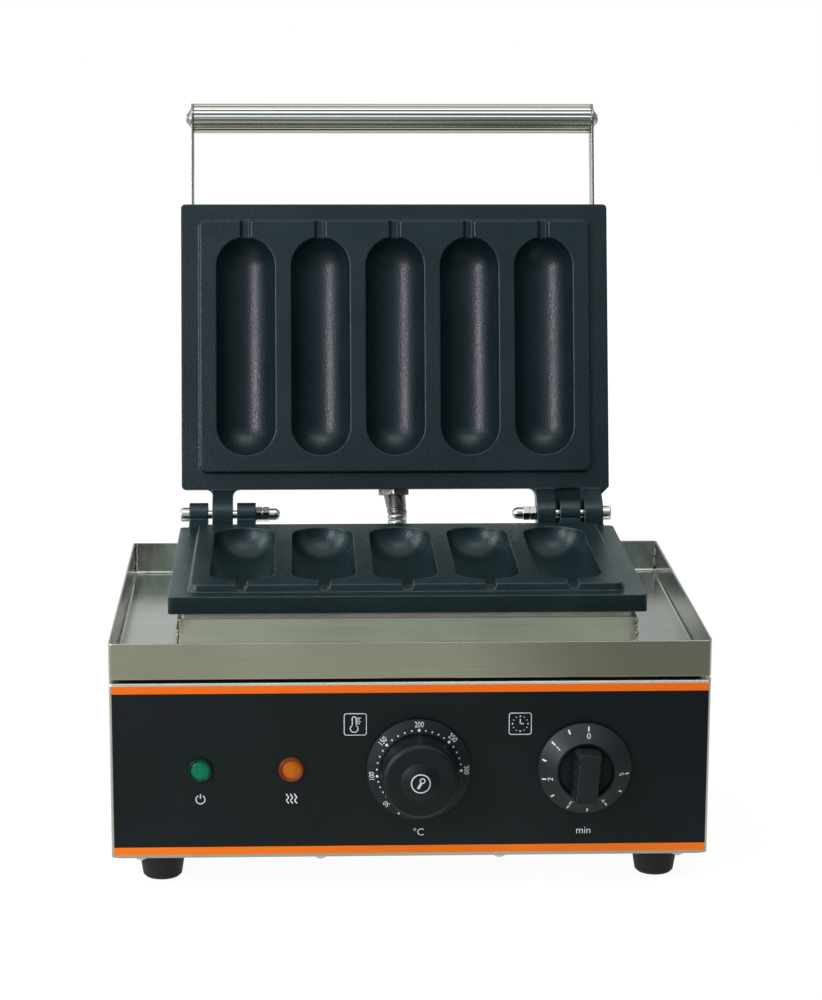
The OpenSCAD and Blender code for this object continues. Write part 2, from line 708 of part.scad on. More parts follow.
module heater_clamp() difference() {
    slab(2 * (post_x + clamp_beyond), heater_span + 2 * clamp_margin, 5,
         (plate_d - heater_span) / 2 - clamp_margin, -clamp_top - clamp_t, clamp_t);
    for (p = clamp_spots) translate([p[0], p[1], -clamp_top - clamp_t - 1])
        cylinder(d = clamp_screw_d + 2 * hole_gap, h = clamp_t + 2);
}

module clamp_bolts() for (p = clamp_spots) translate([p[0], p[1], -clamp_top - clamp_t])
    mirror([0, 0, 1]) screw(clamp_screw_d - 2 * hole_gap, clamp_t + post_thread - 1, clamp_head_d, clamp_head_h);

module lower_heater() color([0.35, 0.33, 0.3]) lower_frame() heater_hairpin();
module lower_heater_clamp() color("gray") lower_frame() heater_clamp();
module lower_clamp_bolts() color("silver") lower_frame() clamp_bolts();
module upper_heater() color([0.35, 0.33, 0.3]) swung_open() upper_frame() heater_hairpin();
module upper_heater_clamp() color("gray") swung_open() upper_frame() heater_clamp();
module upper_clamp_bolts() color("silver") swung_open() upper_frame() clamp_bolts();

// Controls

control_depth = 36;
bush_l = 4;
bush_nut_h = 2.4;
shaft_in = 12;
shaft_out = 16;
shaft_gap = 0.06;

// A control behind the panel with its threaded bush through the panel
module control_body(x, w, h, depth) facing_front(x, controls_z) difference() {
    union() {
        translate([-w / 2, -h / 2, -sheet_t - depth]) cube([w, h, depth]);
        translate([0, 0, -sheet_t - fuse]) cylinder(d = bush_d, h = sheet_t + film_t + bush_l + fuse);
    }
    translate([0, 0, -shaft_in]) cylinder(d = shaft_d + 2 * shaft_gap, h = shaft_in + film_t + bush_l + 1);
}

module control_nut(x) facing_front(x, controls_z) translate([0, 0, film_t])
    hex_nut(13, bush_nut_h, bush_d + 2 * hole_gap);

thermostat_w = 44;
thermostat_body_h = 50;
timer_w = 46;

module thermostat_body() color([0.85, 0.83, 0.76]) control_body(thermostat_x, thermostat_w, thermostat_body_h, control_depth);
module timer_body() color([0.8, 0.8, 0.82]) control_body(timer_x, timer_w, timer_w, control_depth + 6);
module thermostat_nut() color("silver") control_nut(thermostat_x);
module timer_nut() color("silver") control_nut(timer_x);

bulb_d = 6;
bulb_l = 80;
capillary_d = 1.6;
bulb_z = hinge_z - rim_back - bulb_d / 2 - slip_gap;
capillary_low_z = controls_z + thermostat_body_h / 2 + 8;
capillary_in = 20;

// Sensing bulb in the valley beside the middle mould, with its capillary to the thermostat
module thermostat_bulb() color([0.72, 0.45, 0.3]) {
    corner = [bulb_x, capillary_y, bulb_z];
    drop = [bulb_x, capillary_y, capillary_low_z];
    over = [thermostat_x + 6, sheet_t + capillary_in, capillary_low_z];
    translate([bulb_x, plate_mid_y, bulb_z]) capsule(bulb_d, bulb_l);
    rod(corner, [bulb_x, plate_mid_y - bulb_l / 2 + bulb_d / 2, bulb_z], capillary_d);
    rod(drop, corner, capillary_d);
    rod(over, drop, capillary_d);
    translate(over - [0, 0, capillary_low_z - controls_z - thermostat_body_h / 2])
        cylinder(d = capillary_d, h = capillary_low_z - controls_z - thermostat_body_h / 2);
}

// A lens with a sloped rim and a flat face
module lens(x) facing_front(x, controls_z) translate([0, 0, film_t]) {
    rotate_extrude() polygon([[0, 0], [lamp_d / 2, 0], [lamp_d / 2, lamp_h * 0.3], [lamp_d * 0.44, lamp_h * 0.75],
                              [lamp_d * 0.365, lamp_h], [0, lamp_h]]);
}

module green_lens() color([0.1, 0.65, 0.4]) lens(green_lamp_x);
module orange_lens() color([0.85, 0.4, 0.05]) lens(orange_lamp_x);

lamp_body_l = 28;

module lamp_bodies() color("white") for (x = [green_lamp_x, orange_lamp_x]) facing_front(x, controls_z) {
    translate([0, 0, -lamp_body_l]) cylinder(d = lamp_body_d, h = lamp_body_l + film_t);
    for (s = [-1, 1]) translate([s * 2.5 - 0.4, -1.5, -lamp_body_l - 7]) cube([0.8, 3, 7 + fuse]);
}

skirt_rim_h = 1.6;
skirt_h = 4.2;
nut_room_d = 18;
nut_room_h = 5.2;
grip_edge = 2.6;
grip_draft = 1;
knob_dome_h = 2.6;
socket_gap = 0.02;

// Draws a knob with its back face on the plane just in front of the film
module knob_place(x) facing_front(x, controls_z) translate([0, 0, knob_back]) children();

// Room for the nut and a socket for the shaft, cut from the back of a knob
module knob_back_cut() {
    translate([0, 0, -1]) cylinder(d = nut_room_d, h = nut_room_h + 1);
    translate([0, 0, -1]) cylinder(d = shaft_d + 2 * socket_gap, h = shaft_out - knob_back + film_t + 1 + hole_gap);
}

// Half profile of the thermostat knob: a low dial, a tall grip with a rounded top edge, a domed middle
module thermostat_profile() {
    grip_h = thermostat_knob_h - knob_dome_h;
    top_r = thermostat_grip_d / 2 - grip_draft;
    dome_r = (knob_dome_d * knob_dome_d / 4 + knob_dome_h * knob_dome_h) / (2 * knob_dome_h);
    polygon([[0, 0], [thermostat_dial_d / 2, 0], [thermostat_dial_d / 2, skirt_rim_h],
             [thermostat_grip_d / 2, skirt_h], [top_r, grip_h - grip_edge],
             [top_r - grip_edge, grip_h - grip_edge], [top_r - grip_edge, grip_h], [0, grip_h]]);
    translate([top_r - grip_edge, grip_h - grip_edge]) circle(grip_edge);
    intersection() {
        translate([0, thermostat_knob_h - dome_r]) circle(dome_r);
        translate([0, grip_h - fuse]) square([knob_dome_d / 2, knob_dome_h + 2 * fuse]);
    }
}

module thermostat_knob() color([0.1, 0.1, 0.11]) knob_place(thermostat_x) difference() {
    rotate_extrude() thermostat_profile();
    knob_back_cut();
}

timer_ring_d = 31;
timer_ring_h = 8.5;
timer_well_d = 29;
timer_floor = 6.6;
timer_bar_flare = 2;
timer_rest = 4;
timer_bar_r = 3;
scallop_count = 4;
scallop_pitch = 5.4;
scallop_d = 5;
scallop_in = 0.5;

// The timer's bar: sloping flanks, rounded corners, and shallow scallops for the fingers
module timer_bar() {
    foot_t = timer_bar_t + 2 * timer_bar_flare;
    difference() {
        intersection() {
            translate([0, timer_dial_d / 2, 0]) rotate([90, 0, 0]) linear_extrude(timer_dial_d)
                polygon([[-foot_t / 2, timer_floor - fuse], [foot_t / 2, timer_floor - fuse],
                         [timer_bar_t / 2, timer_knob_h], [-timer_bar_t / 2, timer_knob_h]]);
            linear_extrude(timer_knob_h) rounded_rect(foot_t, timer_bar_l, timer_bar_r);
        }
        for (s = [-1, 1], i = [0 : scallop_count - 1])
            translate([s * (timer_bar_t / 2 + scallop_d / 2 - scallop_in), (i - (scallop_count - 1) / 2) * scallop_pitch,
                       timer_knob_h])
                rotate([0, -s * atan(timer_bar_flare / (timer_knob_h - timer_floor)), 0])
                    cylinder(d = scallop_d, h = 2 * timer_knob_h, center = true);
    }
}

module timer_knob() color([0.1, 0.1, 0.11]) knob_place(timer_x) difference() {
    union() {
        rotate_extrude() polygon([
            [0, 0], [timer_dial_d / 2, 0], [timer_dial_d / 2, skirt_rim_h], [timer_ring_d / 2, timer_ring_h],
            [timer_well_d / 2, timer_ring_h], [timer_well_d / 2, timer_floor], [0, timer_floor]]);
        rotate(-timer_rest) timer_bar();
    }
    knob_back_cut();
}

module shaft(x) facing_front(x, controls_z)
    translate([0, 0, -shaft_in + hole_gap]) cylinder(d = shaft_d, h = shaft_in + film_t + shaft_out - hole_gap);

module thermostat_shaft() color("silver") shaft(thermostat_x);
module timer_shaft() color("silver") shaft(timer_x);

// Supply side, at the back

terminal_w = 58;
terminal_d = 20;
terminal_h = 18;
terminal_poles = 3;
terminal_in = 62;
pole_d = 5;
pole_h = 8;

module terminal_block() color("ivory") translate([cord_gland_x - terminal_w / 10, body_d - terminal_in, body_z]) difference() {
    cube([terminal_w, terminal_d, terminal_h]);
    for (i = [0 : terminal_poles - 1], y = [0.28, 0.72])
        translate([terminal_w * (i + 0.5) / terminal_poles, terminal_d * y, terminal_h - pole_h])
            cylinder(d = pole_d, h = pole_h + 1);
}

gland_body_h = 5;
cord_gland_af = 22;
gland_cap_h = 12;
gland_inner_l = 12;

module cord_gland() color([0.1, 0.1, 0.1]) facing_back(cord_gland_x, cord_gland_z) difference() {
    union() {
        translate([0, 0, -sheet_t - gland_inner_l]) cylinder(d = cord_thread_d, h = sheet_t + gland_inner_l + fuse);
        translate([0, 0, -sheet_t - gland_body_h]) hex_block(cord_gland_af, gland_body_h);
        hex_block(cord_gland_af, gland_body_h);
        translate([0, 0, gland_body_h - fuse]) rotate_extrude() polygon([
            [0, 0], [10.4, 0], [10.4, gland_cap_h * 0.6], [7, gland_cap_h], [0, gland_cap_h]]);
    }
    translate([0, 0, -sheet_t - gland_inner_l - 1]) cylinder(d = cord_bore_d, h = 60);
}

// Hinge bolts, drawn for the left hinge

bolt_head_d = 8.5;
bolt_head_h = 5.3;
bolt_edge = 0.6;
bolt_af = 4;
nut_af = 8;
nut_h = 4;
dome_h = 10.5;

// Draws with Z along the hinge axis from the outer face of the left hinge towards the middle
module on_left_pin() translate([-hinge_x - ear_far, hinge_y, hinge_z]) rotate([0, 90, 0]) children();

module hinge_bolt() on_left_pin() difference() {
    union() {
        mirror([0, 0, 1]) rotate_extrude() polygon([
            [0, 0], [bolt_head_d / 2, 0], [bolt_head_d / 2, bolt_head_h - bolt_edge],
            [bolt_head_d / 2 - bolt_edge, bolt_head_h], [0, bolt_head_h]]);
        translate([0, 0, -fuse]) cylinder(d = pin_d, h = 2 * ear_far + nut_h + nut_h + 1 + fuse);
    }
    translate([0, 0, -bolt_head_h - 1]) cylinder(d = bolt_af / cos(30), h = bolt_head_h / 2 + 1, $fn = 6);
}

module hinge_nuts() on_left_pin() translate([0, 0, 2 * ear_far]) {
    hex_nut(nut_af, nut_h, bolt_hole_d);
    translate([0, 0, nut_h + stop_gap]) difference() {
        union() {
            hex_block(nut_af, nut_h);
            translate([0, 0, nut_h - fuse]) cylinder(d = nut_af - 0.8, h = dome_h - nut_h - nut_af / 2 + 0.4 + fuse);
            translate([0, 0, dome_h - nut_af / 2 + 0.4]) sphere(d = nut_af - 0.8);
        }
        translate([0, 0, -1]) cylinder(d = bolt_hole_d, h = nut_h + 2.5);
    }
}

module hinge_bolt_left() color("silver") hinge_bolt();
module hinge_nuts_left() color("silver") hinge_nuts();
module hinge_bolt_right() color("silver") swung_open() mirror([1, 0, 0]) hinge_bolt();
module hinge_nuts_right() color("silver") swung_open() mirror([1, 0, 0]) hinge_nuts();

// Lid cover

cover_r = 3;
insulation_t = 12;
insulation_in = 4;
arm_screw_d = 4;
arm_head_d = 7.5;
arm_head_h = 2.4;
arm_screw_in = [16, 46];
arm_tail = 58;

module upper_cover() color("silver") swung_open() difference() {
    translate([0, 0, hinge_z + rim_back]) {
        ring(cover_w, riser_d, cover_r, sheet_t, cover_y, 0, cover_h);
        slab(cover_w, riser_d, cover_r, cover_y, cover_h - sheet_t, sheet_t);
    }
    for (p = post_spots) translate([p[0], plate_y + p[1], hinge_z + rim_back + cover_h - sheet_t - 1])
        cylinder(d = post_screw_d + 2 * hole_gap, h = sheet_t + 2);
    translate([hose_lid_x, cover_rear - sheet_t - 1, hinge_z + hose_lid_up]) rotate([-90, 0, 0])
        cylinder(d = ferrule_d + 2 * hole_gap, h = sheet_t + 2);
    for (y = arm_screw_in) translate([-cover_w, cover_y + y, handle_z]) rotate([0, 90, 0])
        cylinder(d = arm_screw_d + 2 * hole_gap, h = 2 * cover_w);
}

module upper_insulation() color([0.9, 0.87, 0.75]) swung_open() difference() {
    slab(cover_w - 2 * insulation_in - 12, riser_d - 2 * insulation_in, cover_r, cover_y + insulation_in,
         hinge_z + rim_back + cover_h - sheet_t - insulation_t, insulation_t);
    for (p = post_spots) translate([p[0], plate_y + p[1], hinge_z]) cylinder(d = post_d + 2, h = rim_back + cover_h);
    translate([hose_lid_x, cover_rear, hinge_z + hose_lid_up]) rotate([90, 0, 0]) cylinder(d = 32, h = 24);
}

module cover_screws() color("silver") swung_open() for (p = post_spots)
    translate([p[0], plate_y + p[1], hinge_z + rim_back + cover_h])
        screw(post_screw_d - 2 * hole_gap, sheet_t + post_thread - 1, post_head_d, post_head_h);

// Handle

handle_bore = 13;
handle_bolt_d = 6;
bolt_cap_d = 11;
bolt_cap_h = 3;
cap_ball_r = (bolt_cap_d * bolt_cap_d / 4 + bolt_cap_h * bolt_cap_h) / (2 * bolt_cap_h) + 0.6;
plug_l = 18;

module handle_axis() translate([0, handle_y, handle_z]) rotate([0, 90, 0]) children();

// Flat bars with round ends, from the tube back along the sides of the cover
module handle_arms() color("silver") swung_open() for (s = [-1, 1]) difference() {
    x0 = s > 0 ? cover_w / 2 : -cover_w / 2 - arm_t;
    arm_l = cover_y + arm_tail - handle_y;
    translate([0, handle_y, handle_z]) along_x(x0, x0 + arm_t) {
        circle(d = handle_d);
        translate([0, -arm_w / 2]) square([arm_l - arm_w / 2, arm_w]);
        translate([arm_l - arm_w / 2, 0]) circle(d = arm_w);
    }
    handle_axis() translate([0, 0, x0 - 1]) cylinder(d = handle_bolt_d + 2 * hole_gap, h = arm_t + 2);
    for (y = arm_screw_in) translate([x0 - 1, cover_y + y, handle_z]) rotate([0, 90, 0])
        cylinder(d = arm_screw_d + 2 * hole_gap, h = arm_t + 2);
}

module arm_screws() color("silver") swung_open() for (s = [-1, 1], y = arm_screw_in)
    translate([s * (cover_w / 2 + arm_t), cover_y + y, handle_z]) rotate([0, s * 90, 0])
        screw(arm_screw_d, arm_t + sheet_t + arm_screw_d, arm_head_d, arm_head_h);

module handle_tube() color("silver") swung_open() handle_axis()
    linear_extrude(cover_w, center = true) difference() {
        circle(d = handle_d);
        circle(d = handle_bore);
        for (i = [0 : flute_count - 1]) rotate(360 * i / flute_count) translate([handle_d / 2 + flute_w * 0.15, 0])
            circle(d = flute_w);
    }

module handle_plugs() color([0.1, 0.1, 0.1]) swung_open() handle_axis() for (s = [0, 1]) mirror([0, 0, s])
    translate([0, 0, cover_w / 2 - plug_l]) difference() {
        cylinder(d = handle_bore - 2 * socket_gap, h = plug_l);
        translate([0, 0, 2]) cylinder(d = handle_bolt_d, h = plug_l);
    }

module handle_bolts() color("silver") swung_open() handle_axis() for (s = [0, 1]) mirror([0, 0, s])
    translate([0, 0, cover_w / 2 + arm_t]) {
        translate([0, 0, -arm_t - plug_l + bolt_cap_h]) cylinder(d = handle_bolt_d - 2 * hole_gap, h = arm_t + plug_l);
        intersection() {
            translate([0, 0, bolt_cap_h - cap_ball_r]) sphere(cap_ball_r);
            cylinder(d = bolt_cap_d, h = bolt_cap_h);
        }
    }

// Conduit

// A hex nut and a grooved ferrule with a through bore, drawn with Z towards the hose
module conduit_gland(ferrule_h) difference() {
    union() {
        translate([0, 0, -sheet_t - 4]) cylinder(d = ferrule_d, h = sheet_t + 4 + fuse);
        rotate([0, 0, 30]) hex_block(gland_af, gland_nut_h);
        cylinder(d = ferrule_d, h = gland_nut_h + ferrule_h);
    }
    translate([0, 0, -sheet_t - 5]) cylinder(d = gland_bore, h = 60);
    translate([0, 0, gland_nut_h + ferrule_h - 3]) rotate_extrude() translate([ferrule_d / 2 - 0.5, 0]) square([2, 1]);
}

module conduit_gland_lid() color("silver") swung_open()
    translate([hose_lid_x, cover_rear, hinge_z + hose_lid_up]) rotate([-90, 0, 0]) conduit_gland(lid_ferrule_h);

module conduit_gland_base() color("silver") facing_back(hose_base_x, hose_z) conduit_gland(base_ferrule_h);

// Ribbed hose: crests and valleys take turns along the loop, round a smooth bore
module conduit_hose() color([0.6, 0.6, 0.6]) {
    n = hose_sides;
    outer_n = 2 * rib_count;
    inner_n = rib_count;
    valley = hose_d / 2 - rib_h;
    outer = [for (k = [0 : outer_n]) each hose_ring(hose_l * k / outer_n, k % 2 == 0 ? valley : hose_d / 2)];
    inner = [for (k = [0 : inner_n]) each hose_ring(hose_l * k / inner_n, hose_bore / 2)];
    first = len(outer);
    faces = [
        for (k = [0 : outer_n - 1], i = [0 : n - 1]) let (a = k * n + i, b = k * n + (i + 1) % n)
            each [[a, b, b + n], [a, b + n, a + n]],
        for (k = [0 : inner_n - 1], i = [0 : n - 1]) let (a = first + k * n + i, b = first + k * n + (i + 1) % n)
            each [[a, b + n, b], [a, a + n, b + n]],
        for (i = [0 : n - 1]) let (j = (i + 1) % n)
            each [[i, first + j, j], [i, first + i, first + j]],
        for (i = [0 : n - 1]) let (j = (i + 1) % n, o = outer_n * n, q = first + inner_n * n)
            each [[o + i, o + j, q + j], [o + i, q + j, q + i]]
    ];
    polyhedron(concat(outer, inner), faces, convexity = 10);
}

placed() housing();
placed() panel_overlay();
placed() bottom_plate();
placed() bottom_screws();
placed() feet();
placed() foot_screws();
placed() tray_spacer();
placed() tray();
placed() riser_box();
placed() riser_gasket();
placed() lower_plate();
placed() plate_bolts();
placed() lower_heater();
placed() lower_heater_clamp();
placed() lower_clamp_bolts();
placed() thermostat_body();
placed() thermostat_nut();
placed() thermostat_bulb();
placed() timer_body();
placed() timer_nut();
placed() green_lens();
placed() orange_lens();
placed() lamp_bodies();
placed() terminal_block();
placed() cord_gland();
placed() hinge_bolt_left();
placed() hinge_nuts_left();
placed() conduit_gland_base();
placed() conduit_hose();
placed() upper_plate();
placed() upper_heater();
placed() upper_heater_clamp();
placed() upper_clamp_bolts();
placed() upper_insulation();
placed() upper_cover();
placed() cover_screws();
placed() handle_arms();
placed() arm_screws();
placed() handle_tube();
placed() handle_plugs();
placed() handle_bolts();
placed() hinge_bolt_right();
placed() hinge_nuts_right();
placed() conduit_gland_lid();
placed() thermostat_knob();
placed() thermostat_shaft();
placed() timer_knob();
placed() timer_shaft();
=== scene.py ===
# %% [markdown]
# # A corn dog maker, dressed for its portrait
# The machine is a steel box with a crumb tray, and two cast plates that shut over five
# moulds. Its solids come ready made from the imported model, so this script only adds what
# solids cannot say: finishes, printing, soft edges and the ribbed hose. The first cell loads
# the model. Nothing added later may stand outside it.

# %% Load the imported model
import math

import bpy
import numpy as np
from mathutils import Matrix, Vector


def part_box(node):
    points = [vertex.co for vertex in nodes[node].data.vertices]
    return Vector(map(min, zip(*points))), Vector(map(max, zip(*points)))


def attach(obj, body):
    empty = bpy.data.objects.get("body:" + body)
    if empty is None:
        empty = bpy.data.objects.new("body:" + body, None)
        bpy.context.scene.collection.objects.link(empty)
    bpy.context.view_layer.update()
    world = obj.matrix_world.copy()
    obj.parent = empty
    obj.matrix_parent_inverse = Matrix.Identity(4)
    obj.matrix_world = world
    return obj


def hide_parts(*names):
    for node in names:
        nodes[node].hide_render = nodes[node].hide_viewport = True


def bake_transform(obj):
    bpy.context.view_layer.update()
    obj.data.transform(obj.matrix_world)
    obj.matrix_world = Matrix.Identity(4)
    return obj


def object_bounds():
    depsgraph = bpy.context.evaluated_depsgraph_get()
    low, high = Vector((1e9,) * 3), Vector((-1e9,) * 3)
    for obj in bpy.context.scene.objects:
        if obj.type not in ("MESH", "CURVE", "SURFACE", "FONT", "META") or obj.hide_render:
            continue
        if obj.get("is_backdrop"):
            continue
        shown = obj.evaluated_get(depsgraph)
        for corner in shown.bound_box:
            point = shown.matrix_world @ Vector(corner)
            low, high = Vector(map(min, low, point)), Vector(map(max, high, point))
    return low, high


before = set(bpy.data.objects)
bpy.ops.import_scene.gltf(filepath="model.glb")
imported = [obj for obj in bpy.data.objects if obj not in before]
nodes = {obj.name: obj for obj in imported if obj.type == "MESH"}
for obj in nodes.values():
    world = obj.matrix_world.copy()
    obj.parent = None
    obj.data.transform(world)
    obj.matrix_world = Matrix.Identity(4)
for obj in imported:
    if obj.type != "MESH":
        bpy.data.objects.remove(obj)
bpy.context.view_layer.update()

# %% [markdown]
# All sizes below are in millimetres, measured from the face of the control panel: X to the
# right, Y to the back, Z up from the table. The housing node says where that face lies, so
# one function turns such points into metres in the shared frame.

# %% From panel millimetres to the frame
PANEL_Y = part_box("housing")[0][1]
CONTROLS_Z = 63.5


def to_frame(points):
    """Millimetres from the panel's face to metres in the frame: scale, then shift Y."""
    return np.asarray(points, float) * 0.001 + np.array([0.0, PANEL_Y, 0.0])


def facing_front(points, x, lift):
    """Turns a shape drawn with Z towards the user onto the panel: (u, v, w) -> (x + u, -lift - w, v)."""
    u, v, w = np.moveaxis(np.asarray(points, float), -1, 0)
    return np.stack([x + u, -lift - w, CONTROLS_Z + v], -1)


print("panel face at y =", round(PANEL_Y, 5))

# %% [markdown]
# ## Surfaces from grids
# Every new piece is a grid of points worked out as one array. The grid's rows and columns
# are the two parameters of the surface, and neighbouring points make its quads. Several
# grids can be sewn into one mesh: points that fall together are merged, which also closes
# poles and seams.

# %% Grid helpers
import bmesh


def quads(rows, cols, closed):
    """Corner numbers of a grid's quads, row by row; closed joins the last column to the first."""
    i = np.arange(rows - 1)[:, None] * cols
    j = np.arange(cols if closed else cols - 1)[None, :]
    k = (j + 1) % cols
    return np.stack([i + j, i + k, i + cols + k, i + cols + j], -1).reshape(-1, 4)


def make_piece(name, verts, faces, finish, body, sharp=35):
    """A mesh object in the frame that rides on a body; edges steeper than sharp degrees stay crisp."""
    mesh = bpy.data.meshes.new(name)
    mesh.from_pydata(to_frame(verts).tolist(), [], [list(f) for f in faces])
    shape = bmesh.new()
    shape.from_mesh(mesh)
    bmesh.ops.remove_doubles(shape, verts=shape.verts, dist=2e-6)
    bmesh.ops.dissolve_degenerate(shape, edges=shape.edges, dist=1e-6)
    bmesh.ops.recalc_face_normals(shape, faces=shape.faces)
    shape.to_mesh(mesh)
    shape.free()
    mesh.shade_smooth()
    mesh.set_sharp_from_angle(angle=math.radians(sharp))
    mesh.materials.append(finish)
    piece = bpy.data.objects.new(name, mesh)
    bpy.context.collection.objects.link(piece)
    if body:
        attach(piece, body)
    print(name, len(mesh.vertices), "points", len(mesh.polygons), "faces")
    return piece


def sewn(name, patches, finish, body, sharp=35):
    """Sews (grid, closed) patches, each an n x m x 3 array in millimetres, into one piece."""
    verts, faces, first = [], [], 0
    for grid, closed in patches:
        rows, cols = grid.shape[:2]
        verts.append(grid.reshape(-1, 3))
        faces.append(quads(rows, cols, closed) + first)
        first += rows * cols
    return make_piece(name, np.concatenate(verts), np.concatenate(faces), finish, body, sharp)


def softened(points, cut, steps=6):
    """A polyline whose inner corners are cut back by a length and bridged by parabolas."""
    p = np.asarray(points, float)
    a, c, b = p[:-2], p[1:-1], p[2:]
    back, on = a - c, b - c
    back_l = np.linalg.norm(back, axis=1, keepdims=True)
    on_l = np.linalg.norm(on, axis=1, keepdims=True)
    cut = np.broadcast_to(np.asarray(cut, float), (len(c),))[:, None]
    start = c + back / back_l * np.minimum(cut, back_l * 0.49)
    end = c + on / on_l * np.minimum(cut, on_l * 0.49)
    t = np.linspace(0, 1, steps)[None, :, None]
    arcs = (1 - t) ** 2 * start[:, None] + 2 * t * (1 - t) * c[:, None] + t ** 2 * end[:, None]
    return np.concatenate([p[:1], arcs.reshape(-1, p.shape[1]), p[-1:]])


def turned(profile, sides=96):
    """A turned shape: radius and height of the profile carried round the Z axis."""
    a = np.linspace(0, 2 * np.pi, sides, endpoint=False)
    r, h = np.asarray(profile, float).T[:, :, None]
    return np.stack([r * np.cos(a), r * np.sin(a), h + 0 * a], -1)


# %% [markdown]
# ## Finishes
# A finish is a small node tree. The helper makes a Principled shader, sets the numbers that
# are the same all over straight on its sockets, and hands back a way to add nodes. Patterns
# read Object coordinates, which on these pieces are metres in the frame. A Bevel node rounds
# the look of sharp sheet and casting edges by a fraction of a millimetre.

# %% Finish helpers


class Finish:
    """A material with one Principled shader and short ways to add and join nodes."""

    def __init__(self, name, **sockets):
        self.material = bpy.data.materials.new(name)
        self.material.use_nodes = True
        self.tree = self.material.node_tree
        self.shader = self.tree.nodes["Principled BSDF"]
        for key, value in sockets.items():
            self.shader.inputs[key.replace("_", " ")].default_value = value

    def add(self, kind, **settings):
        node = self.tree.nodes.new(kind)
        for key, value in settings.items():
            setattr(node, key, value)
        return node

    def join(self, source, target):
        self.tree.links.new(source, target)

    def object_coordinates(self, scale=(1, 1, 1), turn=(0, 0, 0)):
        """Object coordinates, stretched and turned by a Mapping node."""
        mapping = self.add("ShaderNodeMapping")
        mapping.inputs["Scale"].default_value = scale
        mapping.inputs["Rotation"].default_value = turn
        self.join(self.add("ShaderNodeTexCoord").outputs["Object"], mapping.inputs["Vector"])
        return mapping.outputs["Vector"]

    def noise(self, scale, detail=4.0, stretch=(1, 1, 1), rough=0.5):
        node = self.add("ShaderNodeTexNoise")
        node.inputs["Scale"].default_value = scale
        node.inputs["Detail"].default_value = detail
        node.inputs["Roughness"].default_value = rough
        self.join(self.object_coordinates(stretch), node.inputs["Vector"])
        return node.outputs["Fac"]

    def separate(self):
        """The X, Y and Z sockets of the Object coordinates."""
        split = self.add("ShaderNodeSeparateXYZ")
        self.join(self.object_coordinates(), split.inputs["Vector"])
        return split.outputs

    def spread(self, value, low, high, start=0.3, end=0.7):
        """Maps a value between start and end onto the range low to high."""
        node = self.add("ShaderNodeMapRange")
        for key, number in (("From Min", start), ("From Max", end), ("To Min", low), ("To Max", high)):
            node.inputs[key].default_value = number
        self.join(value, node.inputs["Value"])
        return node.outputs["Result"]

    def mixed(self, factor, first, second):
        """A colour between two colours, chosen by a factor."""
        node = self.add("ShaderNodeMix", data_type="RGBA")
        for socket, colour in ((node.inputs[6], first), (node.inputs[7], second)):
            if hasattr(colour, "is_linked"):
                self.join(colour, socket)
            else:
                socket.default_value = (*colour, 1)
        self.join(factor, node.inputs[0])
        return node.outputs[2]

    def math(self, operation, first, second=0.0):
        node = self.add("ShaderNodeMath", operation=operation)
        for socket, value in zip(node.inputs, (first, second)):
            if hasattr(value, "is_linked"):
                self.join(value, socket)
            else:
                socket.default_value = value
        return node.outputs["Value"]

    def soft_edges(self, radius, height=None, depth=0.00002, strength=0.3):
        """Rounds edges with a Bevel node and, given a height, adds a fine bump on top."""
        bevel = self.add("ShaderNodeBevel", samples=6)
        bevel.inputs["Radius"].default_value = radius
        normal = bevel.outputs["Normal"]
        if height is not None:
            bump = self.add("ShaderNodeBump")
            bump.inputs["Strength"].default_value = strength
            bump.inputs["Distance"].default_value = depth
            self.join(height, bump.inputs["Height"])
            self.join(normal, bump.inputs["Normal"])
            normal = bump.outputs["Normal"]
        self.join(normal, self.shader.inputs["Normal"])

    def edge_mask(self, radius):
        """Near 1 along sharp edges, where a Bevel node's normal leaves the surface's own."""
        bevel = self.add("ShaderNodeBevel", samples=6)
        bevel.inputs["Radius"].default_value = radius
        dot = self.add("ShaderNodeVectorMath", operation="DOT_PRODUCT")
        self.join(bevel.outputs["Normal"], dot.inputs[0])
        self.join(self.add("ShaderNodeNewGeometry").outputs["True Normal"], dot.inputs[1])
        return self.spread(dot.outputs["Value"], 1, 0, 0.78, 0.96)

    def set(self, socket, value):
        self.join(value, self.shader.inputs[socket])


# %% [markdown]
# ### Brushed steel
# Sheet stainless comes with a fine grain along one direction. A noise stretched a hundred
# times along that direction makes the strokes; it moves the roughness and tilts the surface
# a little, so that highlights smear across the grain. A wide soft noise gives the cloudy
# tone that handling leaves.

# %% Steel finishes


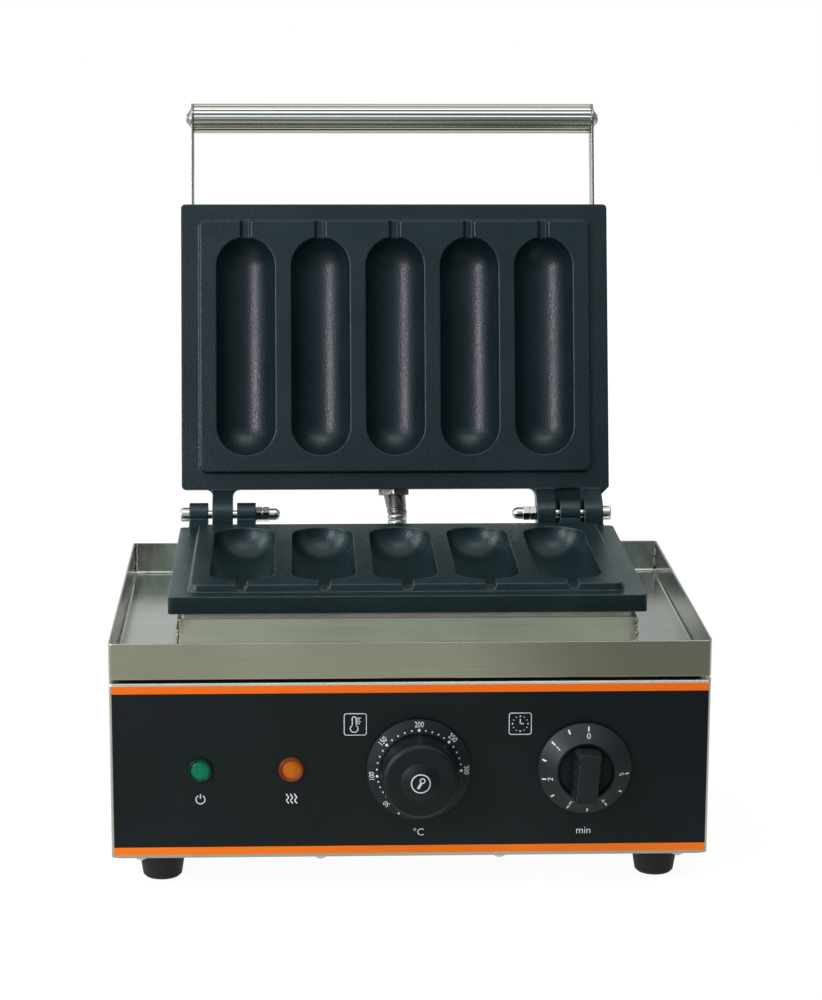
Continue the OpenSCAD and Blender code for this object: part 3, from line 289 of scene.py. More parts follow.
def brushed_steel(name, tone, rough, grain, marks=None, edge=0.0008, rolled=None):
    """Stainless with strokes along X, Y or Z; marks is a list of (axis, start, end) ramps in metres
    whose product darkens the metal, as heat from a weld does; rolled is a range of heights where the
    sheet begins to roll over its top edge."""
    f = Finish(name, Metallic=1.0)
    stretch = {"x": (0.6, 40, 40), "y": (40, 0.6, 40), "z": (40, 40, 0.6)}[grain]
    strokes = f.noise(45, 6, stretch, 0.7)
    clouds = f.noise(16, 3)
    shade = f.mixed(f.spread(clouds, 0, 1), [c * 0.9 for c in tone], [min(1, c * 1.06) for c in tone])
    shade = f.mixed(f.spread(strokes, 0.0, 0.3), shade, [c * 0.72 for c in tone])
    if marks:
        heat = f.spread(f.noise(90, 5, (1, 1, 0.35), 0.65), 0, 1, 0.42, 0.66)
        places = f.separate()
        for axis, start, end in marks:
            place = f.math("ABSOLUTE", places[axis]) if axis == "X" else places[axis]
            heat = f.math("MULTIPLY", heat, f.spread(place, 0, 1, start, end))
        shade = f.mixed(heat, shade, (0.26, 0.23, 0.17))
    f.set("Base Color", shade)
    f.set("Roughness", f.spread(strokes, rough - 0.05, rough + 0.09))
    if rolled:
        fall = f.spread(f.separate()["Z"], 0, -0.36, *rolled)
        strokes = f.math("ADD", f.math("MULTIPLY", strokes, 0.004), fall)
        f.soft_edges(edge, strokes, 2 * (rolled[1] - rolled[0]), 1.0)
    else:
        f.soft_edges(edge, strokes, 0.00003, 0.12)
    return f.material


def bright_steel(name, tone, rough, wear=0.05):
    """Polished steel with faint wear in its gloss."""
    f = Finish(name, Metallic=1.0, Base_Color=(*tone, 1))
    f.set("Roughness", f.spread(f.noise(160, 2), rough - wear / 2, rough + wear))
    f.soft_edges(0.0003)
    return f.material


STAINLESS = (0.53, 0.545, 0.495)
sheet_steel = brushed_steel("sheet steel", STAINLESS, 0.20, "x", rolled=(0.1084, 0.1100))
tray_steel = brushed_steel("tray steel", STAINLESS, 0.17, "x", [("X", 0.118, 0.150), ("Y", 0.045, 0.088)])
# The riser's steel is a much lighter copy of the sheet's: painted light for the light its front catches. The
# darker marks at its front corners are heat tint from the welds.
riser_steel = brushed_steel("riser steel", (0.86, 0.88, 0.70), 0.42, "x",
                            [("X", 0.112, 0.1225), ("Y", -0.092, -0.099)])
side_steel = brushed_steel("side steel", (0.30, 0.30, 0.27), 0.22, "z")
bolt_steel = bright_steel("bolt steel", (0.36, 0.35, 0.32), 0.16, 0.02)
polished_steel = bright_steel("polished steel", (0.66, 0.65, 0.60), 0.12)
ferrule_steel = bright_steel("dull ferrule", (0.21, 0.20, 0.18), 0.24, 0.01)
zinc_steel = bright_steel("zinc plated steel", (0.55, 0.55, 0.54), 0.38)


def grip_finish():
    """Drawn steel whose grooves, marked on the mesh by an attribute, are darkened: painted shade, with some
    dirt, in the narrow grooves.
    """
    f = Finish("grip steel", Metallic=1.0, Roughness=0.10)
    groove = f.add("ShaderNodeAttribute", attribute_name="groove").outputs["Fac"]
    f.set("Base Color", f.mixed(groove, (0.64, 0.63, 0.57), (0.05, 0.05, 0.04)))
    return f.material


handle_steel = grip_finish()
print("steel finishes made")

# %% [markdown]
# ### Coated castings and mouldings
# The plates wear a charcoal non-stick coat with a blue cast. Sprayed coats dry with a fine
# pebble, made here by a fine noise in the bump, and a thin film in the shader gives the faint
# purple and teal that show where light grazes the moulds. Pale edges, a painted highlight with
# some wear in it, are brighter on the lower plate than on the lid.

# %% Coat, plastic and rubber finishes


def cast_coat():
    f = Finish("non-stick coat", Specular_IOR_Level=0.42, Thin_Film_Thickness=240.0, Thin_Film_IOR=1.45)
    pebble = f.noise(1050, 2)
    clouds = f.noise(28, 4)
    skin = f.mixed(f.spread(clouds, 0, 1), (0.0050, 0.0130, 0.0170), (0.0074, 0.0178, 0.0228))
    # Pale edges: a painted highlight along the rounded edges, with some wear, made patchy by a noise; the lid
    # keeps a quarter of it.
    wear = f.math("MULTIPLY", f.edge_mask(0.0009), f.spread(f.noise(200, 4), 0.15, 0.95))
    low = f.spread(f.separate()["Z"], 1.0, 0.25, 0.150, 0.165)
    wear = f.math("MULTIPLY", wear, low)
    f.set("Base Color", f.mixed(wear, skin, (0.150, 0.185, 0.185)))
    f.set("Specular Tint", f.mixed(low, (1.05, 1.0, 1.01), (0.85, 1.0, 0.97)))
    f.set("Roughness", f.spread(clouds, 0.25, 0.33))
    f.soft_edges(0.0012, pebble, 0.00021, 0.85)
    return f.material


def moulded(name, tone, rough, edge=0.0004, grain=900, shine=0.45, lit_edge_tone=None, shade_reach=0.0,
            neck=None, dial=None):
    """Moulded plastic or rubber: a fine pebble and a slightly uneven gloss. The edge tone is a
    painted highlight along sharp edges; the shade reach, in metres, is how far painted shade
    darkens inner corners in colour and gloss; neck gives the depths (Y in metres) between which a
    knob's neck comes out of the painted shade of its dial, and the dial behind it has a tone of its own."""
    f = Finish(name, Specular_IOR_Level=shine)
    pebble = f.noise(grain, 3)
    clouds = f.noise(60, 3)
    skin = f.mixed(f.spread(clouds, 0, 1), [c * 0.85 for c in tone], [c * 1.15 for c in tone])
    # The dial behind a knob's neck takes the dial tone, a lighter copy of the black that stands in for light.
    if neck:
        depth = f.separate()["Y"]
        before_dial = f.math("LESS_THAN", depth, neck[1])
        skin = f.mixed(before_dial, dial, skin)
    # Painted highlight: a paler tone along sharp edges, as if they caught the light.
    skin = f.mixed(f.edge_mask(edge), skin, lit_edge_tone) if lit_edge_tone else skin
    f.set("Base Color", skin)
    f.set("Roughness", f.spread(pebble, rough - 0.05, rough + 0.07))
    # Painted shade: an occlusion node darkens colour and gloss in inner corners, and on a knob the neck is
    # darkened near its dial.
    if shade_reach:
        corner = f.add("ShaderNodeAmbientOcclusion", samples=8, only_local=True)
        corner.inputs["Distance"].default_value = shade_reach
        clear = f.spread(corner.outputs["AO"], 0.2, 1, 0.45, 0.88)
        if neck:
            shade = f.math("MULTIPLY", f.spread(depth, 0, 1, *neck), before_dial)
            clear = f.math("MULTIPLY", clear, f.math("SUBTRACT", 1.0, shade))
        f.set("Specular IOR Level", f.math("MULTIPLY", clear, shine))
        f.set("Base Color", f.mixed(clear, [c * 0.25 for c in tone], skin))
    f.soft_edges(edge, pebble, 0.00004, 0.2)
    return f.material


coat = cast_coat()
# The dials' black is a lighter copy of the grip's black: painted light for the light falling on the dial
# cones; the timer knob wears it all over.
LIT_DIAL_TONE = (0.0080, 0.0128, 0.0152)
# Knobs get a pale painted highlight along their sharp edges and painted shade in their inner corners.
KNOB = dict(rough=0.42, edge=0.0006, lit_edge_tone=(0.045, 0.050, 0.052), shade_reach=0.010)
knob_black = moulded("knob black", tone=LIT_DIAL_TONE, shine=0.34, **KNOB)
grip_black = moulded("grip black", tone=(0.0048, 0.0086, 0.0102), shine=0.25, dial=LIT_DIAL_TONE,
                     neck=(PANEL_Y - 0.0145, PANEL_Y - 0.0058), **KNOB)
rubber_black = moulded("foot rubber", (0.0095, 0.0097, 0.0100), 0.62, shine=0.3)
plastic_black = moulded("black plastic", (0.016, 0.016, 0.017), 0.45)
plastic_white = moulded("white plastic", (0.62, 0.60, 0.55), 0.5)
copper = bright_steel("drawn copper", (0.66, 0.38, 0.25), 0.3)
heater_skin = bright_steel("heater tube", (0.22, 0.20, 0.18), 0.5)
fibre_board = moulded("fibre board", (0.68, 0.65, 0.55), 0.85, grain=400)
print("coat and plastics made")

# %% [markdown]
# ### The printed film and the lamps
# The panel film is satin black with an orange band along its upper and lower edge. The bands
# are part of the print, so they are two steps on the Z coordinate rather than extra pieces.

# %% Film and lens finishes
BAND = 0.0041


def printed_film():
    f = Finish("panel film", Specular_IOR_Level=0.22)
    low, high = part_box("panel_overlay")
    height = f.separate()["Z"]
    lower = f.math("LESS_THAN", height, low[2] + BAND)
    upper = f.math("GREATER_THAN", height, high[2] - BAND)
    clouds = f.noise(14, 3)
    black = f.mixed(f.spread(clouds, 0, 1), (0.0034, 0.0070, 0.0088), (0.0056, 0.0102, 0.0126))
    # The bands are one orange ink: the upper one is given a darker orange as painted shade and the lower one
    # a brighter orange as painted light.
    print_above = f.mixed(upper, black, (0.88, 0.146, 0.001))
    f.set("Base Color", f.mixed(lower, print_above, (0.98, 0.186, 0.003)))
    f.set("Roughness", f.spread(f.noise(700, 2), 0.30, 0.40))
    f.soft_edges(0.0002, f.noise(900, 2), 0.00002, 0.1)
    return f.material


def lens_plastic(name, tone, rim, x):
    """Tinted clear plastic of a lamp at x metres: its window is bright, its thick rim is deep."""
    f = Finish(name, Roughness=0.12, IOR=1.49, Specular_IOR_Level=0.25)
    places = f.separate()
    across = f.math("SUBTRACT", places["X"], x)
    upward = f.math("SUBTRACT", places["Z"], CONTROLS_Z * 0.001)
    square = f.math("ADD", f.math("MULTIPLY", across, across), f.math("MULTIPLY", upward, upward))
    ring = f.spread(f.math("SQRT", square), 0, 1, 0.0044, 0.0052)
    facets = f.noise(420, 2)
    window = f.mixed(f.spread(facets, 0, 1), [c * 0.88 for c in tone], [c * 1.1 for c in tone])
    f.set("Base Color", f.mixed(ring, window, rim))
    f.soft_edges(0.0004)
    return f.material


film = printed_film()
LAMP_X = {"green_lens": -109.4, "orange_lens": -62.1}
green_plastic = lens_plastic("green lens", (0.0, 0.160, 0.074), (0.0, 0.018, 0.011),
                             LAMP_X["green_lens"] * 0.001)
orange_plastic = lens_plastic("orange lens", (0.49, 0.122, 0.002), (0.17, 0.030, 0.006),
                              LAMP_X["orange_lens"] * 0.001)
print("film and lenses made")

# %% [markdown]
# ## Dress the nodes
# Each node of the model gets the finish that its real part has. The loop sets every material
# slot of a node, and a node that was forgotten would show in the printed count.

# %% Assign finishes
dress = {
    sheet_steel: "housing upper_cover",
    tray_steel: "tray",
    riser_steel: "riser_box",
    side_steel: "handle_arms",
    handle_steel: "handle_tube",
    ferrule_steel: "conduit_gland_lid conduit_gland_base",
    bolt_steel: "handle_bolts",
    polished_steel: "hinge_bolt_left hinge_bolt_right hinge_nuts_left hinge_nuts_right "
                    "arm_screws cover_screws bottom_screws foot_screws thermostat_nut timer_nut",
    zinc_steel: "bottom_plate plate_bolts lower_heater_clamp upper_heater_clamp lower_clamp_bolts "
                "upper_clamp_bolts thermostat_shaft timer_shaft",
    coat: "lower_plate upper_plate",
    film: "panel_overlay",
    knob_black: "timer_knob",
    grip_black: "thermostat_knob",
    rubber_black: "feet tray_spacer",
    plastic_black: "cord_gland handle_plugs",
    plastic_white: "thermostat_body timer_body lamp_bodies terminal_block",
    copper: "thermostat_bulb",
    heater_skin: "lower_heater upper_heater",
    fibre_board: "riser_gasket upper_insulation",
    green_plastic: "green_lens",
    orange_plastic: "orange_lens",
}
dressed = 0
for finish, names in dress.items():
    for name in names.split():
        nodes[name].data.materials.clear()
        nodes[name].data.materials.append(finish)
        dressed += 1
print(dressed, "nodes dressed of", len(nodes))

# %% [markdown]
# ## The ribbed hose
# A conduit carries the wires from the lid to the housing. It is a metal hose of rolled strip,
# stiff but bendable, 11.7 mm over its crests. Its route is three straight ways with two
# rounded corners. Rings of points follow the route, and their radius swells and narrows once
# for each rib.

# %% Route and ribs of the hose
OPEN = math.radians(104.3)
HOSE_D = 11.7
RIB = 3.6
RIB_DEPTH = 0.75
BEND = 47.0
DROP = 42.5
REACH = 110.0
start = np.array([-1.2, 249.8783, 144.6439])
finish_point = np.array([110.0, 250.0, 32.0])
ways = np.array([[0, math.cos(OPEN), -math.sin(OPEN)], [0, 0, 0], [0, -1, 0]])
corners = np.array([start + DROP * ways[0], finish_point - REACH * ways[2]])
ways[1] = (corners[1] - corners[0]) / np.linalg.norm(corners[1] - corners[0])


def rounded_corner(corner, a, b, steps=40):
    """An arc of radius BEND that leaves direction a and ends in direction b, near a corner."""
    turn = math.acos(float(a @ b))
    side = (b - a * (a @ b)) / math.sin(turn)
    t = np.linspace(0, turn, steps)[:, None]
    return corner - BEND * math.tan(turn / 2) * a + BEND * (np.sin(t) * a + (1 - np.cos(t)) * side)


route = np.concatenate([
    [start], rounded_corner(corners[0], ways[0], ways[1]),
    rounded_corner(corners[1], ways[1], ways[2]), [finish_point]])
lengths = np.concatenate([[0], np.cumsum(np.linalg.norm(np.diff(route, axis=0), axis=1))])
hose_length = lengths[-1]
rib_count = int(hose_length / RIB)


def along_route(s):
    """Points of the route at lengths s, by straight steps between its points."""
    return np.stack([np.interp(s, lengths, route[:, k]) for k in range(3)], -1)


LEAN = 2.6
LEAN_END = 60.0
s = np.linspace(0, hose_length, rib_count * 10 + 1)
centre = along_route(s)
settle = np.clip(s / LEAN_END, 0, 1)
centre[:, 0] += LEAN * (1 - settle * settle * (3 - 2 * settle))
tangent = np.gradient(centre, axis=0)
tangent /= np.linalg.norm(tangent, axis=1, keepdims=True)
up = np.cross(tangent, [1.0, 0, 0])
up /= np.linalg.norm(up, axis=1, keepdims=True)
side = np.cross(up, tangent)
wave = np.abs(np.sin(np.pi * s / hose_length * rib_count)) ** 0.6
radius = HOSE_D / 2 - RIB_DEPTH * (1 - wave)
around = np.linspace(0, 2 * np.pi, 40, endpoint=False)
sideways = np.cos(around)[None, :, None] * side[:, None]
upwards = np.sin(around)[None, :, None] * up[:, None]
ring = radius[:, None, None] * (sideways + upwards)
hose_steel = bright_steel("hose strip", (0.46, 0.45, 0.42), 0.3)
hose = sewn("hose", [(centre[:, None] + ring, True)], hose_steel, None, 60)
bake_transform(hose)
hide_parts("conduit_hose")
print("hose", round(hose_length, 1), "mm,", rib_count, "ribs")

# %% [markdown]
# The hose is held by a fitting on the lid: a flanged hexagon nut and a ferrule crimped round
# the hose, which pulls it a little to the right. Its rings are drawn round the fitting's axis.
# In the hexagon the radius follows the flats, capped by a cone that takes off the corners.

# %% Fitting on the lid
FITTING_L = 20.0
NUT_END = 8.9
HALF_FLATS = 9.0
FITTING = [(0, 0, 0), (10, 0, 0), (10, 3.2, 0), (9.3, 3.2, 1), (10.2, 3.8, 1), (10.2, 8.3, 1),
           (9.3, NUT_END, 1), (7.2, NUT_END, 0), (6.5, NUT_END, 0), (6.5, 9.6, 0), (6.05, 16.2, 0),
           (5.6, 16.6, 0), (5.6, 17.3, 0), (6.05, 17.7, 0), (6.0, 19.5, 0), (5.6, FITTING_L, 0),
           (0, FITTING_L, 0)]


def fitting_rings(rows, sides=72):
    """Rings of (radius, length, hexagon or not) round the line from the lid's cover to the hose."""
    r, t, hexed = np.array(rows, float).T[:, :, None]
    a = np.linspace(0, 2 * np.pi, sides, endpoint=False)[None, :]
    flats = HALF_FLATS / np.cos((a + np.pi / 6) % (np.pi / 3) - np.pi / 6)
    r = np.where(hexed > 0, np.minimum(flats, r), r)
    lean = np.interp(t, [0, NUT_END, NUT_END + 0.1, FITTING_L], [0.4, 0.4, 1.0, LEAN])
    side_way, front_way = np.array([1.0, 0, 0]), np.cross(ways[0], [1.0, 0, 0])
    axis = start + (t - FITTING_L)[..., None] * ways[0] + lean[..., None] * side_way
    return axis + (r * np.cos(a))[..., None] * side_way + (r * np.sin(a))[..., None] * front_way


fitting = sewn("lid_fitting", [(fitting_rings(FITTING), True)], ferrule_steel, "lid", 28)
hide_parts("conduit_gland_lid")

# %% [markdown]
# ## Grip of the handle
# The grip is a thin drawn tube with rounded ridges all along it, so each ridge mirrors the
# whole room once and the grip shows stripes. Its outline is a circle that falls away to both
# sides of a ridge like a parabola, and meets the next one in a sharp groove.

# %% Ridged grip
GRIP_R = 9.0
RIDGES = 18
RIDGE_FALL = 0.34
RIDGE_TURN = 1.8
END_ROUND = 0.4
END_SIZE = 0.95


def ridged_outline(fall, turn, per_ridge=14):
    """Outline in (y, z): radius R - fall u^2, where u goes from -1 to 1 across a ridge."""
    a = np.linspace(0, 2 * np.pi, RIDGES * per_ridge, endpoint=False)
    u = (a * RIDGES / (2 * np.pi) % 1) * 2 - 1
    r = GRIP_R - fall * u * u
    a = a + math.radians(turn)
    return np.stack([0 * a, r * np.cos(a), r * np.sin(a)], -1)


panel_shift = [0, PANEL_Y * 1000, 0]
grip_low, grip_high = (np.asarray(corner) * 1000 - panel_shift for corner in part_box("handle_tube"))
grip_middle = (grip_low + grip_high) / 2
outline = ridged_outline(RIDGE_FALL, RIDGE_TURN)
grip_rows = []
for x, size in ((grip_low[0], 0.0), (grip_low[0], END_SIZE), (grip_low[0] + END_ROUND, 1.0),
                (grip_high[0] - END_ROUND, 1.0), (grip_high[0], END_SIZE), (grip_high[0], 0.0)):
    grip_rows.append([x, grip_middle[1], grip_middle[2]] + outline * size)
grip = sewn("grip_tube", [(np.array(grip_rows), True)], handle_steel, "lid", 30)
spots = np.empty(len(grip.data.vertices) * 3)
grip.data.vertices.foreach_get("co", spots)
y, z = (spots.reshape(-1, 3) - to_frame(grip_middle))[:, 1:].T
across_ridge = ((np.arctan2(z, y) - math.radians(RIDGE_TURN)) * RIDGES / (2 * np.pi) % 1) * 2 - 1
# Painted shade with some dirt: a mask near each groove that darkens the grip's steel there.
groove = grip.data.attributes.new("groove", "FLOAT", "POINT")
groove.data.foreach_set("value", np.clip((np.abs(across_ridge) - 0.62) / 0.3, 0, 1))
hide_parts("handle_tube")

# %% [markdown]
# ## Folds and welds of the sheet metal
# A tray bent from sheet has a small round at the foot of each wall, which draws a bright line
# in the steel. The round is a quarter circle carried along the four walls: each of its points
# has a distance from the wall and a height above the floor.

# %% Folds of the tray
FLOOR_Z = 113.0


def inner_fold(half_w, y0, y1, z, r, steps=9):
    """Quarter round between walls and floor: distance r(1 - cos t), height r(1 - sin t)."""
    t = np.linspace(0, np.pi / 2, steps)[:, None]
    d = r * (1 - np.cos(t)) - 0.03
    h = r * (1 - np.sin(t)) + 0.02
    corner_x = np.array([-1, 1, 1, -1])
    corner_y = np.array([0, 0, 1, 1])
    x = corner_x * (half_w - d)
    y = np.where(corner_y == 0, y0 + d, y1 - d)
    return np.stack([x, y, z + h + 0 * x], -1)


folds = sewn("tray_folds", [(inner_fold(155, 1, 233, FLOOR_Z, 1.6), True)], tray_steel, "base", 50)

# %% [markdown]
# The riser under the plate and the walls of the tray are joined at their corners by hand
# welding. A bead is a half round whose radius and middle wander along its length; a few
# sines of unrelated lengths are enough to look uneven.

# %% Weld beads


def weld_finish():
    f = Finish("weld bead", Metallic=1.0)
    spots = f.spread(f.noise(900, 3), 0, 1, 0.4, 0.6)
    f.set("Base Color", f.mixed(spots, (0.08, 0.06, 0.04), (0.48, 0.44, 0.36)))
    f.set("Roughness", f.spread(f.noise(1300, 2), 0.22, 0.45))
    return f.material


def bead(x, y, z0, z1, r, phase, steps=90, sides=16):
    """A closed bead round the line (x, y): radius and centre are sums of sines along z."""
    z = np.linspace(z0, z1, steps)[:, None]
    a = np.linspace(0, 2 * np.pi, sides, endpoint=False)[None, :]
    wander = 0.35 * r * np.sin(z / 1.3 + phase) + 0.25 * r * np.sin(z / 0.52 + 2 * phase)
    size = r * (1 + 0.28 * np.sin(z / 0.31 + phase) + 0.2 * np.sin(z / 0.83 + 3 * phase + a))
    size = size * np.sqrt(np.clip(1 - np.abs(2 * (z - z0) / (z1 - z0) - 1) ** 14, 0, 1))
    return np.stack([x + wander + size * np.cos(a), y + size * np.sin(a), z + 0 * a], -1)


weld = weld_finish()
RISER_CORNER = (122.2, 47.8)
TRAY_CORNER = (154.9, 232.9)
riser_x, riser_y = RISER_CORNER
tray_x, tray_y = TRAY_CORNER
riser_welds = [(bead(sx * riser_x, riser_y, FLOOR_Z, 131.6, 0.65, 1 + sx), True) for sx in (-1, 1)]
tray_welds = [(bead(sx * tray_x, tray_y, FLOOR_Z, 130.8, 0.5, 4 + sx), True) for sx in (-1, 1)]
welds = sewn("weld_beads", riser_welds + tray_welds, weld, "base", 80)

# %% [markdown]
# ## Pilot lamps
# A lamp's cap is one moulding of tinted plastic: a bevelled ring, and inside it a sunk and
# slightly domed window. It is turned, so a profile of radius and height is enough.

# %% Lamp caps
FILM_T = 0.4
lens_corners = [(6.7, 0.0), (6.7, 0.9), (6.1, 2.2), (5.5, 2.3),
                (4.75, 1.2), (4.3, 1.5), (2.5, 1.85), (0.0, 1.9)]
lens_profile = np.concatenate([[(0.0, 0.0)], softened(lens_corners, [0.3, 0.4, 0.3, 0.2, 0.2, 0.8])])
for name, plastic in (("green_lens", green_plastic), ("orange_lens", orange_plastic)):
    cap_grid = facing_front(turned(lens_profile, 64), LAMP_X[name], FILM_T)
    cap = sewn(name + "_cap", [(cap_grid, True)], plastic, "base")
    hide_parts(name)

# %% [markdown]
# ## Printing on the dials and the panel
# Numbers and marks are thin white prints. Each is drawn flat, as a font glyph or a stroke of
# constant width, and then bent onto the cone of its dial by one formula: distance across the
# text becomes an angle, and distance up the text becomes radius.

# %% Flat drawings


def glyphs(text, size):
    """Points and faces of a line of figures, centred, made from Blender's own font."""
    curve = bpy.data.curves.new("figures", "FONT")
    curve.body = text
    curve.size = size
    curve.align_x = "CENTER"
    curve.align_y = "CENTER"
    thing = bpy.data.objects.new("figures", curve)
    bpy.context.collection.objects.link(thing)
    bpy.context.view_layer.update()
    mesh = bpy.data.meshes.new_from_object(thing.evaluated_get(bpy.context.evaluated_depsgraph_get()))
    points = np.empty(len(mesh.vertices) * 3)
    mesh.vertices.foreach_get("co", points)
    faces = [list(p.vertices) for p in mesh.polygons]
    bpy.data.objects.remove(thing)
    bpy.data.meshes.remove(mesh)
    bpy.data.curves.remove(curve)
    return points.reshape(-1, 3)[:, :2], faces


def stroke(path, width, closed=False):
    """A flat ribbon along a path: each point moves half the width to either side."""
    p = np.asarray(path, float)
    if closed:
        step = np.roll(p, -1, axis=0) - np.roll(p, 1, axis=0)
    else:
        step = np.gradient(p, axis=0)
    step /= np.linalg.norm(step, axis=1, keepdims=True)
    off = np.stack([-step[:, 1], step[:, 0]], -1) * width / 2
    n = len(p)
    faces = quads(2, n, closed)
    return np.concatenate([p - off, p + off]), faces.tolist()


def disc(x, y, r, sides=20):
    """A round dot as one face."""
    a = np.linspace(0, 2 * np.pi, sides, endpoint=False)
    return np.stack([x + r * np.cos(a), y + r * np.sin(a)], -1), [list(range(sides))]


def circle(x, y, r, start=0.0, end=2 * np.pi, count=40):
    a = np.linspace(start, end, count)
    return np.stack([x + r * np.cos(a), y + r * np.sin(a)], -1)


class Print:
    """Collects flat drawings and turns them into one thin printed piece."""

    def __init__(self):
        self.points, self.faces, self.count = [], [], 0

    def put(self, drawing, place):
        flat, faces = drawing
        self.points.append(place(flat))
        self.faces += [[i + self.count for i in f] for f in faces]
        self.count += len(flat)

    def make(self, name, finish, body):
        return make_piece(name, np.concatenate(self.points), self.faces, finish, body, 180)


white_ink = moulded("white ink", (0.66, 0.70, 0.70), 0.55, 0.00002)
print("print helpers ready")

# %% [markdown]
# The thermostat's dial slopes from its rim up to the grip. Its scale runs clockwise from 50
# to 300, with a dot every ten degrees of heat and a stronger one at each number, and a
# single dot where it is off.

# %% Thermostat scale
THERMOSTAT_X = 4.0
TIMER_X = 90.4
KNOB_LIFT = 1.4
INK = 0.06


def on_cone(angle, radius, rim, top):
    """Bends flat points onto a dial cone: x over radius turns the angle, y adds to the radius.
    rim and top are (radius, height) at the two ends of the cone."""
    def place(flat):
        r = radius + flat[:, 1]
        a = math.radians(angle) + flat[:, 0] / radius
        h = rim[1] + (rim[0] - r) / (rim[0] - top[0]) * (top[1] - rim[1]) + INK
        return np.stack([r * np.sin(a), r * np.cos(a), h], -1)
    return place


thermostat_print = Print()
heat_angles = {50: -137, 100: -97, 150: -50, 200: 0, 250: 45, 300: 90}
heat_rim, heat_top = (27.0, 1.6), (20.5, 4.2)
for heat, angle in heat_angles.items():
    figure, faces = glyphs(str(heat), 3.9)
    thermostat_print.put((figure * [0.84, 1.0], faces), on_cone(angle, 24.6, heat_rim, heat_top))
for heat in range(50, 301, 10):
    angle = float(np.interp(heat, list(heat_angles), list(heat_angles.values())))
    size = 0.7 if heat % 50 == 0 else 0.43
    thermostat_print.put(disc(0, 0, size), on_cone(angle, 21.9, heat_rim, heat_top))
thermostat_print.put(disc(0, 0, 0.5), on_cone(-156, 25.6, heat_rim, heat_top))
DOME_TOP, DOME_R = 26.0, 21.5


def on_dome(flat):
    """Lays flat points on the domed middle of the grip, a cap of a sphere of radius DOME_R."""
    h = DOME_TOP - DOME_R + np.sqrt(DOME_R ** 2 - (flat ** 2).sum(1)) + INK
    return np.column_stack([flat, h])


thermostat_print.put(stroke(circle(0, 0, 4.8, 0, 2 * np.pi * 59 / 60, 60), 0.6, True), on_dome)
thermostat_print.put(stroke(circle(0.85, 1.6, 1.2, 0, 2 * np.pi * 23 / 24, 24), 0.6, True), on_dome)
thermostat_print.put(stroke([(0.3, 0.55), (-0.6, -1.0), (-1.5, -2.55)], 1.25), on_dome)
thermostat_print.points = [facing_front(p, THERMOSTAT_X, KNOB_LIFT) for p in thermostat_print.points]
thermostat_scale = thermostat_print.make("thermostat_scale", white_ink, "thermostat_dial")

# %% [markdown]
# The timer counts down, so its figures run anticlockwise from 0, evenly spaced. A tick marks
# each figure and each half. The dial rests a little past the top, as a wound-down timer does.

# %% Timer scale
timer_print = Print()
TIMER_REST = 4.0
MINUTE = 53.6
time_rim, time_top = (24.35, 1.6), (15.5, 8.5)
for half in range(11):
    angle = TIMER_REST - MINUTE * half / 2
    timer_print.put(stroke([(0, -1.05), (0, 1.05)], 0.85), on_cone(angle, 21.95, time_rim, time_top))
    if half % 2 == 0:
        figure, faces = glyphs(str(half // 2), 3.7)
        timer_print.put((figure * [1.2, 1.0], faces), on_cone(angle, 18.7, time_rim, time_top))
timer_print.points = [facing_front(p, TIMER_X, KNOB_LIFT) for p in timer_print.points]
timer_scale = timer_print.make("timer_scale", white_ink, "timer_dial")

# %% [markdown]
# The panel itself carries pictures instead of words: a thermometer and a clock in small
# frames, a power sign and rising heat under the two lamps, and the units under the dials.

# %% Panel pictures
panel_print = Print()


def on_film(x, z):
    """Lays flat points on the film at (x, z)."""
    def place(flat):
        return np.stack([x + flat[:, 0], np.full(len(flat), -FILM_T - 0.02), z + flat[:, 1]], -1)
    return place


def frame_line(half, r):
    """A square outline with rounded corners."""
    corner = circle(half - r, half - r, r, 0, np.pi / 2, 8)
    angles = np.arange(4) * np.pi / 2
    turns = [np.array([[math.cos(a), -math.sin(a)], [math.sin(a), math.cos(a)]]) for a in angles]
    return np.concatenate([corner @ t.T for t in turns])


icon = on_film(-28.95, 87.5)
panel_print.put(stroke(frame_line(5.75, 1.2), 0.42, True), icon)
bulb = np.concatenate([circle(-0.6, -2.3, 2.0, math.radians(62), math.radians(478), 30), [(-1.6, 3.1)],
                       circle(-0.6, 3.1, 1.0, math.pi, 0, 10)[1:], [(0.4, -0.5)]])
panel_print.put(stroke(bulb, 0.55), icon)
for k in range(4):
    panel_print.put(stroke([(0.7, 0.4 + k), (2.9 if k % 2 else 2.3, 0.4 + k)], 0.45), icon)
icon = on_film(56.65, 87.2)
panel_print.put(stroke(frame_line(5.75, 1.2), 0.42, True), icon)
for k in range(12):
    a = k * np.pi / 6
    panel_print.put(disc(4.0 * math.sin(a), 4.0 * math.cos(a), 0.42 if k % 3 == 0 else 0.3), icon)
panel_print.put(stroke([(0, 2.6), (0, -0.2)], 0.5), icon)
panel_print.put(stroke([(-0.2, 0), (1.9, 0)], 0.5), icon)

SIGN_Z = 47.5
icon = on_film(LAMP_X["green_lens"], SIGN_Z)
panel_print.put(stroke(circle(0, 0, 2.3, math.radians(120), math.radians(420)), 0.6), icon)
panel_print.put(stroke([(0, 0.5), (0, 3.0)], 0.6), icon)
icon = on_film(LAMP_X["orange_lens"], SIGN_Z)
wave_y = np.linspace(-2.6, 2.8, 24)
for k in (-1, 0, 1):
    panel_print.put(stroke(np.stack([2.1 * k + 0.5 * np.sin(wave_y * 1.9), wave_y], -1), 0.6), icon)
panel_print.put(glyphs("°C", 5.4), on_film(THERMOSTAT_X, 28.6))
panel_print.put(glyphs("min", 5.4), on_film(TIMER_X, 28.9))
panel_marks = panel_print.make("panel_marks", white_ink, "base")

